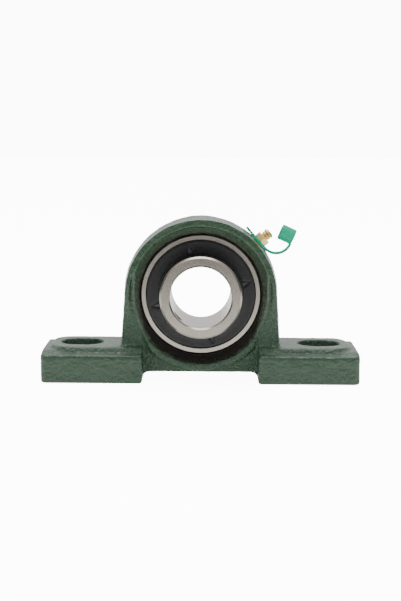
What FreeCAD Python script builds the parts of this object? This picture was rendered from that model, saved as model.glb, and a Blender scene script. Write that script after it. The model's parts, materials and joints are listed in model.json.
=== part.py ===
import FreeCAD, Part
import math
import os
import re

import Sketcher
from FreeCAD import Rotation, Vector

# A pillow block bearing unit with a 30 mm bore: an iron housing on two slotted feet, a self-aligning ball
# bearing in its spherical seat, a grease nipple and its tethered cap.
# Millimetres. X runs along the base, Y along the shaft with the front at -Y, Z up from the base plane.
# The bearing's centre is at X = 0, Y = 0, and its pieces are drawn about that centre.

SIZES = {
    # housing
    "barrel_lift": (4.5, "barrel above the base plane"),
    "base_width": (44.0, "feet, front to back"),
    "slot_length": (21.0, "slot, overall"),
    "slot_width": (17.0, "slot, across"),
    "slot_gap": (8.8, "flank to the slot, at the foot"),
    "foot_end_wall": (8.5, "slot to the end of the foot"),
    "foot_height": (15.8, "top of the feet"),
    "feet_gap": (57.0, "clear width between the feet at the base"),
    "foot_corner_radius": (3.0, "upright outer corners of the feet"),
    "foot_inner_radius": (1.0, "upright inner corners of the feet"),
    "foot_edge_radius": (1.5, "top edges of the feet"),
    "flank_foot_radius": (2.2, "flanks down to the slot bosses"),
    "boss_rise": (1.6, "slot boss above the foot"),
    "boss_side_wall": (9.0, "slot boss beside the slot"),
    "boss_end_wall": (4.7, "slot boss beyond the end of the slot"),
    "boss_corner_radius": (12.0, "outer corners of the slot boss"),
    "boss_edge_radius": (1.0, "top edges of the slot boss"),
    "slot_edge_radius": (0.6, "top edges of the slots"),
    "relief_height": (4.4, "underside of the body above the base"),
    "relief_radius": (3.2, "corner of that relief"),
    "barrel_wall": (7.4, "seat to the crown of the barrel"),
    "barrel_width": (30.0, "barrel, front to back"),
    "barrel_draft": (4.6, "degrees, casting draft from the parting line"),
    "barrel_edge_radius": (0.9, "outer edges of the barrel"),
    "flank_lean": (1.8, "flank at the foot, beyond the barrel"),
    "flank_step": (2.0, "flank behind the face of the barrel"),
    "flank_step_slope": (50.0, "degrees, slope from the barrel face down to the flank"),
    "seat_clearance": (0.05, "outer ring in the seat"),
    "seat_width": (18.0, "spherical seat, front to back"),
    "mouth_lip": (3.15, "recess at the barrel face, beyond the seat radius"),
    "step_low_angle": (-50.0, "degrees, low end of the step from barrel face to flank"),
    "step_high_angle": (27.0, "degrees, high end of that step"),
    "notch_width": (20.4, "loading notch in the back of the seat"),
    "notch_depth": (0.3, "loading notch, beyond the seat radius"),
    "grease_groove_width": (7.0, "groove round the seat"),
    "grease_groove_depth": (0.8, "groove round the seat"),
    "grease_groove_offset": (2.5, "middle of that groove, towards the back"),
    # ball bearing
    "shaft_bore": (30.0, "bore of the inner ring"),
    "inner_wall": (3.2, "inner ring between bore and raceway"),
    "inner_shoulder": (1.95, "inner ring outside, above its raceway"),
    "inner_ring_front": (22.2, "inner ring, centre to front face"),
    "inner_ring_back": (15.9, "inner ring, centre to back face"),
    "bore_chamfer": (0.75, "inner ring, bore edges"),
    "ring_chamfer": (0.8, "inner ring, outer edges"),
    "outer_wall": (3.185, "outer ring between raceway and sphere"),
    "outer_shoulder": (1.765, "outer ring land, above its raceway"),
    "ring_lip": (1.5, "outer ring beyond the seal, along the shaft"),
    "outer_ring_edge": (0.3, "outer ring, edge break"),
    "seal_step": (1.3, "seal seat below the land of the outer ring"),
    "seal_gap": (0.72, "cage to seal"),
    "ball_diameter": (9.525, "balls"),
    "ball_count": (9, "balls"),
    "ball_clearance": (0.02, "ball to either raceway"),
    "raceway_share": (0.52, "raceway radius as a share of the ball diameter"),
    "cage_thickness": (0.8, "sheet of the cage"),
    "cage_width": (3.8, "cage ribbon, inside to outside"),
    "pocket_clearance": (0.12, "ball in its cage pocket"),
    "rivet_diameter": (1.6, "cage rivets"),
    "rivet_clearance": (0.05, "rivets in their holes"),
    "rivet_head_diameter": (2.8, "cage rivet heads"),
    "rivet_head_height": (0.5, "cage rivet heads"),
    "seal_thickness": (1.6, "rubber seal"),
    "seal_lip_clearance": (0.1, "seal lip to the inner ring"),
    "slinger_gap": (0.35, "seal to slinger"),
    "slinger_thickness": (0.9, "slinger disc"),
    "slinger_clearance": (0.4, "slinger to the outer ring"),
    "slinger_collar": (0.7, "slinger collar, how far it stands out"),
    "slinger_collar_wall": (0.9, "slinger collar"),
    # set screws
    "screw_diameter": (6.0, "set screws"),
    "screw_clearance": (0.05, "set screw in its hole"),
    "screw_length": (5.0, "set screws"),
    "screw_inset": (5.0, "set screws, from the front face of the inner ring"),
    "screw_tip_gap": (0.4, "screw tip to the shaft"),
    "screw_tip_chamfer": (0.8, "cone of the screw tip"),
    "screw_angle": (101.0, "degrees, first screw"),
    "screw_spacing": (120.0, "degrees, first to second screw"),
    "socket_width": (3.0, "hexagon socket across flats"),
    "socket_depth": (2.2, "hexagon socket"),
    # grease nipple
    "nipple_angle": (41.5, "degrees, nipple axis above the horizontal"),
    "spot_face_depth": (0.35, "flat under the nipple, below the crown of the barrel"),
    "spot_face_diameter": (8.8, "flat under the nipple"),
    "nipple_thread": (6.0, "nipple shank"),
    "nipple_thread_length": (5.0, "nipple shank in the housing"),
    "hexagon_width": (7.0, "nipple hexagon across flats"),
    "hexagon_height": (2.9, "nipple hexagon"),
    "waist_diameter": (4.2, "nipple neck above the hexagon"),
    "collar_diameter": (5.3, "ridge below the nipple's groove"),
    "groove_diameter": (4.3, "groove under the nipple head"),
    "head_diameter": (5.5, "nipple head"),
    "tip_diameter": (3.0, "flat end of the nipple head"),
    "neck_length": (0.6, "nipple neck"),
    "collar_length": (0.9, "nipple ridge"),
    "head_length": (2.3, "nipple head with its groove"),
    "passage_diameter": (2.4, "grease passage"),
    "mouth_diameter": (1.24, "mouth of the nipple"),
    "check_ball_diameter": (1.8, "check ball"),
    "check_ball_clearance": (0.02, "check ball to its cone"),
    "mouth_depth": (0.4, "mouth of the nipple, down to the cone that the ball shuts"),
    "foot_passage_diameter": (1.6, "passage below the spring"),
    "spring_wire": (0.3, "spring wire"),
    "spring_turns": (5, "spring turns"),
    "spring_clearance": (0.12, "spring in the passage, and to the ball"),
    "spring_seat_depth": (7.6, "nipple tip to the foot of the spring"),
    # cap, strap and ring
    "ring_thickness": (1.1, "cap ring under the hexagon"),
    "ring_diameter": (8.2, "cap ring"),
    "tail_length": (5.6, "tail of the ring"),
    "strap_thickness": (0.56, "strap and tail"),
    "strap_width": (2.6, "strap and tail"),
    "strap_tab": (0.2, "tabs of the ring and the cap that meet the strap"),
    "strap_bend_radius": (7.5, "curl of the strap"),
    "strap_turn": (114.0, "degrees, curl of the strap"),
    "cap_clearance": (0.4, "nipple head in the dust cap"),
    "cap_length": (7.3, "dust cap"),
    "cap_wall": (0.6, "dust cap wall"),
    "cap_edge_radius": (0.4, "closed end of the dust cap"),
}

doc = FreeCAD.newDocument("pillow_block")
sheet = doc.addObject("Spreadsheet::Sheet", "sizes")
for row, (alias, (value, meaning)) in enumerate(SIZES.items(), start=1):
    sheet.set(f"A{row}", meaning)
    sheet.set(f"B{row}", str(value))
    sheet.setAlias(f"B{row}", alias)
doc.recompute()


# Sizes that follow from those in the sheet.
FOLLOWS = {
    "pitch_diameter": "shaft_bore + 2 * (inner_wall + ball_clearance) + ball_diameter",
    "inner_ring_diameter": "shaft_bore + 2 * (inner_wall + inner_shoulder)",
    "land_diameter": "pitch_diameter + ball_diameter + 2 * (ball_clearance - outer_shoulder)",
    "seal_bore": "land_diameter + 2 * seal_step",
    "seal_shoulder": "ball_diameter / 2 + pocket_clearance + cage_thickness + seal_gap",
    "outer_ring_width": "2 * (seal_shoulder + seal_thickness + ring_lip)",
    "seat_radius": "(pitch_diameter + ball_diameter) / 2 + ball_clearance + outer_wall + seat_clearance",
    "notch_radius": "seat_radius + notch_depth",
    "mouth_radius": "seat_radius + mouth_lip",
    "barrel_radius": "seat_radius + barrel_wall",
    "bore_height": "barrel_radius + barrel_lift",
    "web_width": "barrel_width - 2 * flank_step",
    "flank_spread": "2 * (barrel_radius + flank_lean)",
    "bolt_spacing": "flank_spread + 2 * slot_gap + slot_length",
    "base_length": "bolt_spacing + slot_length + 2 * foot_end_wall",
    "boss_width": "slot_width + 2 * boss_side_wall",
    "boss_reach": "slot_length / 2 + boss_end_wall",
    "cone_depth": "mouth_depth + (passage_diameter - mouth_diameter) / 2",
    "check_ball_depth": "mouth_depth - mouth_diameter / 2 + sqrt(2) * (check_ball_diameter / 2 + check_ball_clearance)",
    "cap_diameter": "head_diameter + 2 * (cap_clearance + cap_wall)",
}


def in_sheet(expression):
    """The expression with each size read from the sheet, and what follows from sizes written out."""

    def read(word):
        name = word[0]
        if name in FOLLOWS:
            return f"({in_sheet(FOLLOWS[name])})"
        return f"sizes.{name}" if name in SIZES else name

    return re.sub(r"\b[a-z_]+\b", read, expression)


def number(expression):
    """What an expression of sizes comes to."""
    return float(sheet.evalExpression(in_sheet(str(expression))))


def bind(thing, **expressions):
    """Bind properties to sizes. A double underscore stands for a dot."""
    for name, expression in expressions.items():
        thing.setExpression(name.replace("__", "."), in_sheet(str(expression)))


# Lengths that several pieces share, worked out from the sizes.
BALL_RADIUS = "(ball_diameter / 2)"
PITCH_RADIUS = "(pitch_diameter / 2)"
RACEWAY_RADIUS = "(raceway_share * ball_diameter)"
INNER_RADIUS = "(inner_ring_diameter / 2)"
OUTER_SPHERE = "(seat_radius - seat_clearance)"
RIM_RADIUS = "(barrel_radius - tan(barrel_draft * 1deg) * barrel_width / 2)"
SEAT_EDGE = "(sqrt(seat_radius ^ 2 - (seat_width / 2) ^ 2))"
SPOT_FACE = "(barrel_radius - spot_face_depth)"
HEXAGON_FOOT = f"({SPOT_FACE} + ring_thickness)"
HEXAGON_TOP = f"({HEXAGON_FOOT} + hexagon_height)"
NIPPLE_TIP = f"({HEXAGON_TOP} + neck_length + collar_length + head_length)"
STRAP_LEVEL = f"({SPOT_FACE} + ring_thickness / 2)"


def body(label, turned_about=False):
    """An empty body whose origin is the bearing's centre, turned about so that its +Y points to the front."""
    made = doc.addObject("PartDesign::Body", label)
    made.Label = label
    bind(made, Placement__Base__z="bore_height")
    if turned_about:
        made.Placement.Rotation = Rotation(Vector(0, 0, 1), 180)
    return made


def leaning_body(label, turn, x="0", y="0", z="0"):
    """A body whose Z points out from the shaft axis, at an angle above +X, and whose origin is at x, y, z."""
    made = doc.addObject("PartDesign::Body", label)
    made.Label = label
    made.Placement.Rotation = Rotation(Vector(0, 1, 0), 90 - number(turn))
    bind(
        made,
        Placement__Base__x=x,
        Placement__Base__y=y,
        Placement__Base__z=f"bore_height + {z}",
        Placement__Rotation__Angle=f"(90 - ({turn})) * 1deg",
    )
    return made


def sketch_on(owner, role, name, offset=None):
    """A sketch on one of the body's own planes, or offset from it along its normal."""
    made = owner.newObject("Sketcher::SketchObject", name)
    plane = next(f for f in owner.Origin.OriginFeatures if f.Role == role)
    made.AttachmentSupport = [(plane, "")]
    made.MapMode = "FlatFace"
    if offset is not None:
        bind(made, AttachmentOffset__Base__z=offset)
    return made


def arc_between(start, end, radius, side):
    """The shorter arc from start to end, with its centre to the left (1) or right (-1) of the way there."""
    chord = end - start
    reach = math.sqrt(max(radius**2 - (chord.Length / 2) ** 2, 0))
    left = Vector(-chord.y, chord.x, 0).normalize()
    centre = (start + end) / 2 + left * reach * side
    first, last = (start, end) if side > 0 else (end, start)
    angles = [math.atan2(p.y - centre.y, p.x - centre.x) for p in (first, last)]
    return Part.ArcOfCircle(Part.Circle(centre, Vector(0, 0, 1), radius), *angles)


def hold(sketch, kind, axis, element, point, expression):
    """Fix how far a point of the sketch lies from the sketch's origin, along X or Y."""
    value = number(expression)
    if abs(value) < 1e-9:
        sketch.addConstraint(Sketcher.Constraint("PointOnObject", element, point, axis))
        return
    ends = (-1, 1, element, point) if value > 0 else (element, point, -1, 1)
    index = sketch.addConstraint(Sketcher.Constraint(kind, *ends, abs(value)))
    sketch.setExpression(f"Constraints[{index}]", in_sheet(expression if value > 0 else f"-({expression})"))


def tangent_radius(before, start, end):
    """The radius of the arc from start to end that carries on from the line that comes from before."""
    chord = end - start
    way = (start - before).normalize()
    return chord.Length**2 / (2 * abs(chord.x * way.y - chord.y * way.x))


def outline(sketch, *corners):
    """Draw a closed outline through corners, each (x, y) as expressions of sizes.

    A third item makes the way to the next corner an arc: its radius, or the word tangent where it carries on
    from the line before it, and the side that its centre is on.
    """
    points = [Vector(number(corner[0]), number(corner[1]), 0) for corner in corners]
    first = sketch.GeometryCount
    ends = []
    for n, corner in enumerate(corners):
        start, end = points[n], points[(n + 1) % len(points)]
        if len(corner) == 3:
            radius, side = corner[2]
            size = tangent_radius(points[n - 1], start, end) if radius == "tangent" else number(radius)
            sketch.addGeometry(arc_between(start, end, size, side))
            ends.append((1, 2) if side > 0 else (2, 1))
        else:
            sketch.addGeometry(Part.LineSegment(start, end))
            ends.append((1, 2))
    for n, corner in enumerate(corners):
        before = (n - 1) % len(corners)
        carries_on = len(corner) == 3 and corner[2][0] == "tangent"
        kind = "Tangent" if carries_on else "Coincident"
        sketch.addConstraint(
            Sketcher.Constraint(kind, first + before, ends[before][1], first + n, ends[n][0])
        )
        hold(sketch, "DistanceX", -2, first + n, ends[n][0], str(corner[0]))
        hold(sketch, "DistanceY", -1, first + n, ends[n][0], str(corner[1]))
        if len(corner) == 3 and not carries_on:
            radius = corner[2][0]
            index = sketch.addConstraint(Sketcher.Constraint("Radius", first + n, number(radius)))
            sketch.setExpression(f"Constraints[{index}]", in_sheet(radius))


def circle(sketch, x, y, radius):
    """Draw a circle whose middle and radius are expressions of sizes."""
    middle = Vector(number(x), number(y), 0)
    element = sketch.addGeometry(Part.Circle(middle, Vector(0, 0, 1), number(radius)))
    hold(sketch, "DistanceX", -2, element, 3, str(x))
    hold(sketch, "DistanceY", -1, element, 3, str(y))
    index = sketch.addConstraint(Sketcher.Constraint("Radius", element, number(radius)))
    sketch.setExpression(f"Constraints[{index}]", in_sheet(radius))


def turned(owner, name, *corners, cut=False, upright=False, axis_at=None):
    """Turn an outline in (Y, radius) round Y, or upright, one in (radius, Z) round Z, as solid or as a cut.

    With axis_at, the turning axis lies at that height instead, along Y.
    """
    profile = sketch_on(owner, "XZ_Plane" if upright else "YZ_Plane", f"{name}_profile")
    if axis_at is not None:
        bind(profile, AttachmentOffset__Base__y=axis_at)
    outline(profile, *corners)
    made = owner.newObject("PartDesign::Groove" if cut else "PartDesign::Revolution", name)
    made.Profile = profile
    made.ReferenceAxis = (profile, ["V_Axis" if upright else "H_Axis"])
    made.Angle = 360
    doc.recompute()
    return made


def round_the_shaft(owner, name, originals, count):
    """Repeat features evenly round the shaft axis."""
    made = owner.newObject("PartDesign::PolarPattern", name)
    made.Originals = originals
    made.Axis = (next(f for f in owner.Origin.OriginFeatures if f.Role == "Y_Axis"), [""])
    made.Angle = 360
    bind(made, Occurrences=count)
    owner.Tip = made
    doc.recompute()
    return made


def hexagon(sketch, width):
    """Draw a hexagon across flats, about the sketch's origin."""
    corner = f"{width} / sqrt(3)"
    outline(sketch, *((f"{corner} * cos({60 * n}deg)", f"{corner} * sin({60 * n}deg)") for n in range(6)))


def padded(owner, name, profile, length, both_ways=False, **more):
    """Give a sketch a thickness along its normal."""
    made = owner.newObject("PartDesign::Pad", name)
    made.Profile = profile
    made.SideType = "Symmetric" if both_ways else "One side"
    bind(made, Length=length, **more)
    doc.recompute()
    return made


def pocketed(owner, name, profile, length, both_ways=False, reverse=False, **more):
    """Cut a sketch into the body, against its normal unless reversed, and make sure that it cuts."""
    before = owner.Shape.Volume
    made = owner.newObject("PartDesign::Pocket", name)
    made.Profile = profile
    made.SideType = "Symmetric" if both_ways else "One side"
    made.Reversed = reverse
    bind(made, Length=length, **more)
    doc.recompute()
    if not owner.Shape.Volume < before:
        raise ValueError(f"{name} cuts nothing")
    return made


def drilled(owner, name, radius, start, end, turn, along="0"):
    """Cut a round hole along a radius of the bearing, from start to end, at an angle above +X and a given Y."""
    before = owner.Shape.Volume
    made = owner.newObject("PartDesign::SubtractiveCylinder", name)
    made.Placement.Rotation = Rotation(Vector(0, 1, 0), 90 - number(turn))
    bind(
        made,
        Radius=radius,
        Height=f"{end} - ({start})",
        Placement__Base__x=f"({start}) * cos({turn} * 1deg)",
        Placement__Base__y=along,
        Placement__Base__z=f"({start}) * sin({turn} * 1deg)",
        Placement__Rotation__Angle=f"(90 - {turn}) * 1deg",
    )
    doc.recompute()
    if not owner.Shape.Volume < before:
        raise ValueError(f"{name} cuts nothing")
    return made


def rounded(owner, name, radius, wanted):
    """Round the edges of the body's last feature for which wanted(edge) holds."""
    base = owner.Tip
    edges = [f"Edge{n}" for n, edge in enumerate(base.Shape.Edges, start=1) if wanted(edge)]
    if not edges:
        raise ValueError(f"{name} finds no edge")
    made = owner.newObject("PartDesign::Fillet", name)
    made.Base = (base, edges)
    bind(made, Radius=radius)
    doc.recompute()
    return made


NEAR = 0.01  # two points this close count as one place


def lies(edge, x=None, y=None, z=None):
    """Does every point of an edge lie at this distance from the middle planes, or at this height?"""
    return all(
        (x is None or abs(abs(p.x) - x) < NEAR)
        and (y is None or abs(abs(p.y) - y) < NEAR)
        and (z is None or abs(p.z - z) < NEAR)
        for p in edge.discretize(3)
    )


# Housing: barrel, web, feet, slot bosses, then the cuts.
PAST = "1"  # how far a cut runs past the face that it starts from
FOOT_TOP = "(foot_height - bore_height)"

housing = body("housing")
turned(
    housing,
    "barrel",
    ("-barrel_width / 2", "0"),
    ("-barrel_width / 2", RIM_RADIUS),
    ("0", "barrel_radius"),
    ("barrel_width / 2", RIM_RADIUS),
    ("barrel_width / 2", "0"),
)
half_barrel = number("barrel_width / 2")
rounded(housing, "barrel_edges", "barrel_edge_radius", lambda e: lies(e, y=half_barrel) and e.Length > NEAR)

# The barrel's face steps back to the flanks, along a chord from high on the rim to low on it.
for side, place, reverse in (("front", "barrel_width / 2", False), ("back", "-barrel_width / 2", True)):
    step = sketch_on(housing, "XZ_Plane", f"flank_step_{side}_outline", place)
    for hand in ("", "-"):
        low, high = (
            [f"{hand}barrel_radius * cos({angle} * 1deg)", f"barrel_radius * sin({angle} * 1deg)"]
            for angle in ("step_low_angle", "step_high_angle")
        )
        far = f"{hand}(barrel_radius + barrel_width)"
        outline(step, low, (far, low[1]), (far, high[1]), high)
    pocketed(
        housing,
        f"flank_step_{side}",
        step,
        "(barrel_width - web_width) / 2",
        reverse=reverse,
        TaperAngle="-flank_step_slope",
    )

# The flanks lean out from the barrel to the feet, and have the barrel's draft.
for side, reverse in (("front", False), ("back", True)):
    flank = sketch_on(housing, "XZ_Plane", f"web_{side}_outline")
    outline(
        flank,
        ("-barrel_radius", "0"),
        ("-flank_spread / 2", FOOT_TOP),
        ("-flank_spread / 2", "-bore_height"),
        ("flank_spread / 2", "-bore_height"),
        ("flank_spread / 2", FOOT_TOP),
        ("barrel_radius", "0"),
    )
    web = padded(housing, f"web_{side}", flank, "web_width / 2", TaperAngle="-barrel_draft")
    web.Reversed = reverse
    doc.recompute()

feet_plan = sketch_on(housing, "XY_Plane", "feet_plan", "-bore_height")
for side in ("", "-"):
    outline(
        feet_plan,
        (f"{side}feet_gap / 2", "-base_width / 2"),
        (f"{side}base_length / 2", "-base_width / 2"),
        (f"{side}base_length / 2", "base_width / 2"),
        (f"{side}feet_gap / 2", "base_width / 2"),
    )
padded(housing, "feet", feet_plan, "foot_height")

boss_plan = sketch_on(housing, "XY_Plane", "boss_plan", FOOT_TOP)
BOSS_END = "(bolt_spacing / 2 + boss_reach)"
for side, turn in (("", 1), ("-", -1)):
    outline(
        boss_plan,
        (f"{side}feet_gap / 2", "-boss_width / 2"),
        (f"{side}({BOSS_END} - boss_corner_radius)", "-boss_width / 2", ("boss_corner_radius", turn)),
        (f"{side}{BOSS_END}", "-boss_width / 2 + boss_corner_radius"),
        (f"{side}{BOSS_END}", "boss_width / 2 - boss_corner_radius", ("boss_corner_radius", turn)),
        (f"{side}({BOSS_END} - boss_corner_radius)", "boss_width / 2"),
        (f"{side}feet_gap / 2", "boss_width / 2"),
    )
padded(housing, "slot_bosses", boss_plan, "boss_rise")

# Between the feet the underside stands clear of the base plane.
relief = sketch_on(housing, "XZ_Plane", "relief_outline")
RELIEF_TOP = "(relief_height - bore_height)"
outline(
    relief,
    ("-feet_gap / 2", f"-bore_height - {PAST}"),
    ("feet_gap / 2", f"-bore_height - {PAST}"),
    ("feet_gap / 2", f"{RELIEF_TOP} - relief_radius", ("relief_radius", 1)),
    ("feet_gap / 2 - relief_radius", RELIEF_TOP),
    ("-feet_gap / 2 + relief_radius", RELIEF_TOP, ("relief_radius", 1)),
    ("-feet_gap / 2", f"{RELIEF_TOP} - relief_radius"),
)
pocketed(housing, "relief", relief, "base_width", both_ways=True)

half_length, half_width, half_gap, half_web, half_boss = (
    number(f"{size} / 2") for size in ("base_length", "base_width", "feet_gap", "web_width", "boss_width")
)
foot_top, boss_top = number(FOOT_TOP), number(f"{FOOT_TOP} + boss_rise")
boss_end, boss_corner = number(BOSS_END), number("boss_corner_radius")


def round_the_foot(edge):
    """Does an edge run along the front, the back or the outer end of a foot?"""
    beyond = half_width - number("foot_corner_radius")
    return all(abs(p.y) > beyond - NEAR or abs(p.x) > half_length - NEAR for p in edge.discretize(3))


def round_the_boss(edge):
    """Does an edge run along the front, the back or the outer end of a slot boss?"""

    def inside(p):
        past = Vector(abs(p.x) - boss_end + boss_corner, abs(p.y) - half_boss + boss_corner, 0)
        return past.Length if past.x > 0 and past.y > 0 else max(past.x, past.y)

    return all(abs(inside(p) - boss_corner) < NEAR for p in edge.discretize(3))


def at_the_flank(edge):
    """Does an edge run along the foot of a flank?"""
    reach = number("flank_spread / 2")
    return all(abs(p.y) < half_web + NEAR and abs(p.x) < reach + NEAR for p in edge.discretize(3))


rounded(housing, "foot_corners", "foot_corner_radius", lambda e: lies(e, x=half_length, y=half_width))
rounded(housing, "foot_edges", "foot_edge_radius", lambda e: lies(e, z=foot_top) and round_the_foot(e))
rounded(housing, "foot_inner_corners", "foot_inner_radius", lambda e: lies(e, x=half_gap, y=half_width))
rounded(housing, "flank_foot", "flank_foot_radius", lambda e: lies(e, z=boss_top) and at_the_flank(e))
rounded(housing, "boss_edges", "boss_edge_radius", lambda e: lies(e, z=boss_top) and round_the_boss(e))


def in_the_slot(edge):
    """Does an edge lie over a slot or on its rim?"""
    slot_half = number("slot_width / 2")
    slot_start = number("(bolt_spacing - slot_length) / 2")
    return all(abs(p.y) < slot_half + NEAR and abs(p.x) > slot_start - NEAR for p in edge.discretize(3))


slot_plan = sketch_on(housing, "XY_Plane", "slot_plan", f"{FOOT_TOP} + boss_rise")
STRAIGHT = "(slot_length - slot_width) / 2"
for side in ("", "-"):
    outline(
        slot_plan,
        (f"{side}bolt_spacing / 2 - {STRAIGHT}", "-slot_width / 2"),
        (f"{side}bolt_spacing / 2 + {STRAIGHT}", "-slot_width / 2", ("tangent", 1)),
        (f"{side}bolt_spacing / 2 + {STRAIGHT}", "slot_width / 2"),
        (f"{side}bolt_spacing / 2 - {STRAIGHT}", "slot_width / 2", ("tangent", 1)),
    )
pocketed(housing, "slots", slot_plan, f"foot_height + boss_rise + {PAST}")
rounded(housing, "slot_edges", "slot_edge_radius", lambda e: lies(e, z=boss_top) and in_the_slot(e))

# The spherical seat, open to both faces through a cone.
CONE = f"((mouth_radius - {SEAT_EDGE}) / ((barrel_width - seat_width) / 2))"
turned(
    housing,
    "seat",
    (f"-barrel_width / 2 - {PAST}", "0"),
    (f"-barrel_width / 2 - {PAST}", f"mouth_radius + {PAST} * {CONE}"),
    ("-seat_width / 2", SEAT_EDGE, ("seat_radius", -1)),
    ("seat_width / 2", SEAT_EDGE),
    (f"barrel_width / 2 + {PAST}", f"mouth_radius + {PAST} * {CONE}"),
    (f"barrel_width / 2 + {PAST}", "0"),
    cut=True,
)
GROOVE_FRONT = "(grease_groove_offset - grease_groove_width / 2)"
GROOVE_BACK = "(grease_groove_offset + grease_groove_width / 2)"
turned(
    housing,
    "grease_groove",
    (GROOVE_FRONT, "seat_radius - grease_groove_depth"),
    (GROOVE_FRONT, "seat_radius + grease_groove_depth"),
    (GROOVE_BACK, "seat_radius + grease_groove_depth"),
    (GROOVE_BACK, "seat_radius - grease_groove_depth"),
    cut=True,
)

# Two notches let the bearing into the seat edge on, from the back.
notches = sketch_on(housing, "XZ_Plane", "notch_outline")
NOTCH_REACH = "sqrt(notch_radius ^ 2 - (notch_width / 2) ^ 2)"
outline(
    notches,
    (f"-{NOTCH_REACH}", "-notch_width / 2"),
    (NOTCH_REACH, "-notch_width / 2", ("notch_radius", 1)),
    (NOTCH_REACH, "notch_width / 2"),
    (f"-{NOTCH_REACH}", "notch_width / 2", ("notch_radius", 1)),
)
pocketed(housing, "notches", notches, "barrel_width")

# The nipple stands on a spot face, over a drilled way to the grease groove.
drilled(housing, "spot_face", "spot_face_diameter / 2", SPOT_FACE, f"barrel_radius + {PAST}", "nipple_angle")
drilled(
    housing,
    "nipple_hole",
    "nipple_thread / 2",
    f"({SPOT_FACE} - nipple_thread_length)",
    f"barrel_radius + {PAST}",
    "nipple_angle",
)
drilled(housing, "grease_way", "passage_diameter / 2", f"(seat_radius - {PAST})", SPOT_FACE, "nipple_angle")

# Outer ring: a slice of a sphere outside, a raceway and two seal seats inside.
outer_ring = body("outer_ring")
EDGE_Y = "(outer_ring_width / 2 - outer_ring_edge)"
EDGE_RADIUS = f"sqrt({OUTER_SPHERE} ^ 2 - {EDGE_Y} ^ 2)"
OUTER_RACE = f"({PITCH_RADIUS} + {BALL_RADIUS} + ball_clearance - {RACEWAY_RADIUS})"
OUTER_LIP = f"sqrt({RACEWAY_RADIUS} ^ 2 - (land_diameter / 2 - {OUTER_RACE}) ^ 2)"
turned(
    outer_ring,
    "ring",
    ("-outer_ring_width / 2", "seal_bore / 2"),
    ("-outer_ring_width / 2", f"{EDGE_RADIUS} - outer_ring_edge"),
    (f"-{EDGE_Y}", EDGE_RADIUS, (OUTER_SPHERE, -1)),
    (EDGE_Y, EDGE_RADIUS),
    ("outer_ring_width / 2", f"{EDGE_RADIUS} - outer_ring_edge"),
    ("outer_ring_width / 2", "seal_bore / 2"),
    ("seal_shoulder", "seal_bore / 2"),
    ("seal_shoulder", "land_diameter / 2"),
    (OUTER_LIP, "land_diameter / 2", (RACEWAY_RADIUS, 1)),
    (f"-{OUTER_LIP}", "land_diameter / 2"),
    ("-seal_shoulder", "land_diameter / 2"),
    ("-seal_shoulder", "seal_bore / 2"),
)

# Inner ring: longer towards the front, where two set screws grip the shaft.
inner_ring = body("inner_ring")
INNER_RACE = f"({PITCH_RADIUS} - {BALL_RADIUS} - ball_clearance + {RACEWAY_RADIUS})"
INNER_LIP = f"sqrt({RACEWAY_RADIUS} ^ 2 - ({INNER_RACE} - {INNER_RADIUS}) ^ 2)"
turned(
    inner_ring,
    "ring",
    ("-inner_ring_front + bore_chamfer", "shaft_bore / 2"),
    ("-inner_ring_front", "shaft_bore / 2 + bore_chamfer"),
    ("-inner_ring_front", f"{INNER_RADIUS} - ring_chamfer"),
    ("-inner_ring_front + ring_chamfer", INNER_RADIUS),
    (f"-{INNER_LIP}", INNER_RADIUS, (RACEWAY_RADIUS, 1)),
    (INNER_LIP, INNER_RADIUS),
    ("inner_ring_back - ring_chamfer", INNER_RADIUS),
    ("inner_ring_back", f"{INNER_RADIUS} - ring_chamfer"),
    ("inner_ring_back", "shaft_bore / 2 + bore_chamfer"),
    ("inner_ring_back - bore_chamfer", "shaft_bore / 2"),
)
SCREW_Y = "(screw_inset - inner_ring_front)"
SCREW_TURNS = ("screw_angle", "(screw_angle + screw_spacing)")
for n, turn in enumerate(SCREW_TURNS, start=1):
    drilled(
        inner_ring,
        f"screw_hole_{n}",
        "screw_diameter / 2",
        f"shaft_bore / 2 - {PAST}",
        f"{INNER_RADIUS} + {PAST}",
        turn,
        along=SCREW_Y,
    )

# Set screws: flat outer end with a hexagon socket, coned tip, just clear of the shaft.
TIP_RADIUS = "(shaft_bore / 2 + screw_tip_gap)"
for n, turn in enumerate(SCREW_TURNS, start=1):
    screw = leaning_body(
        f"setscrew_{n}", turn, f"{TIP_RADIUS} * cos({turn} * 1deg)", SCREW_Y, f"{TIP_RADIUS} * sin({turn} * 1deg)"
    )
    SHANK = "(screw_diameter / 2 - screw_clearance)"
    turned(
        screw,
        "shank",
        ("0", "0"),
        (f"{SHANK} - screw_tip_chamfer", "0"),
        (SHANK, "screw_tip_chamfer"),
        (SHANK, "screw_length"),
        ("0", "screw_length"),
        upright=True,
    )
    socket = sketch_on(screw, "XY_Plane", "socket_outline", "screw_length")
    hexagon(socket, "socket_width")
    pocketed(screw, "socket", socket, "socket_depth")

# Balls, evenly round the pitch circle, the first at the top.
for n in range(int(number("ball_count"))):
    ball = doc.addObject("Part::Sphere", f"ball_{n + 1}")
    ball.Label = f"ball_{n + 1}"
    place = f"90deg + {n} * 360deg / ball_count"
    bind(
        ball,
        Radius=BALL_RADIUS,
        Placement__Base__x=f"{PITCH_RADIUS} * cos({place})",
        Placement__Base__z=f"bore_height + {PITCH_RADIUS} * sin({place})",
    )

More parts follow.
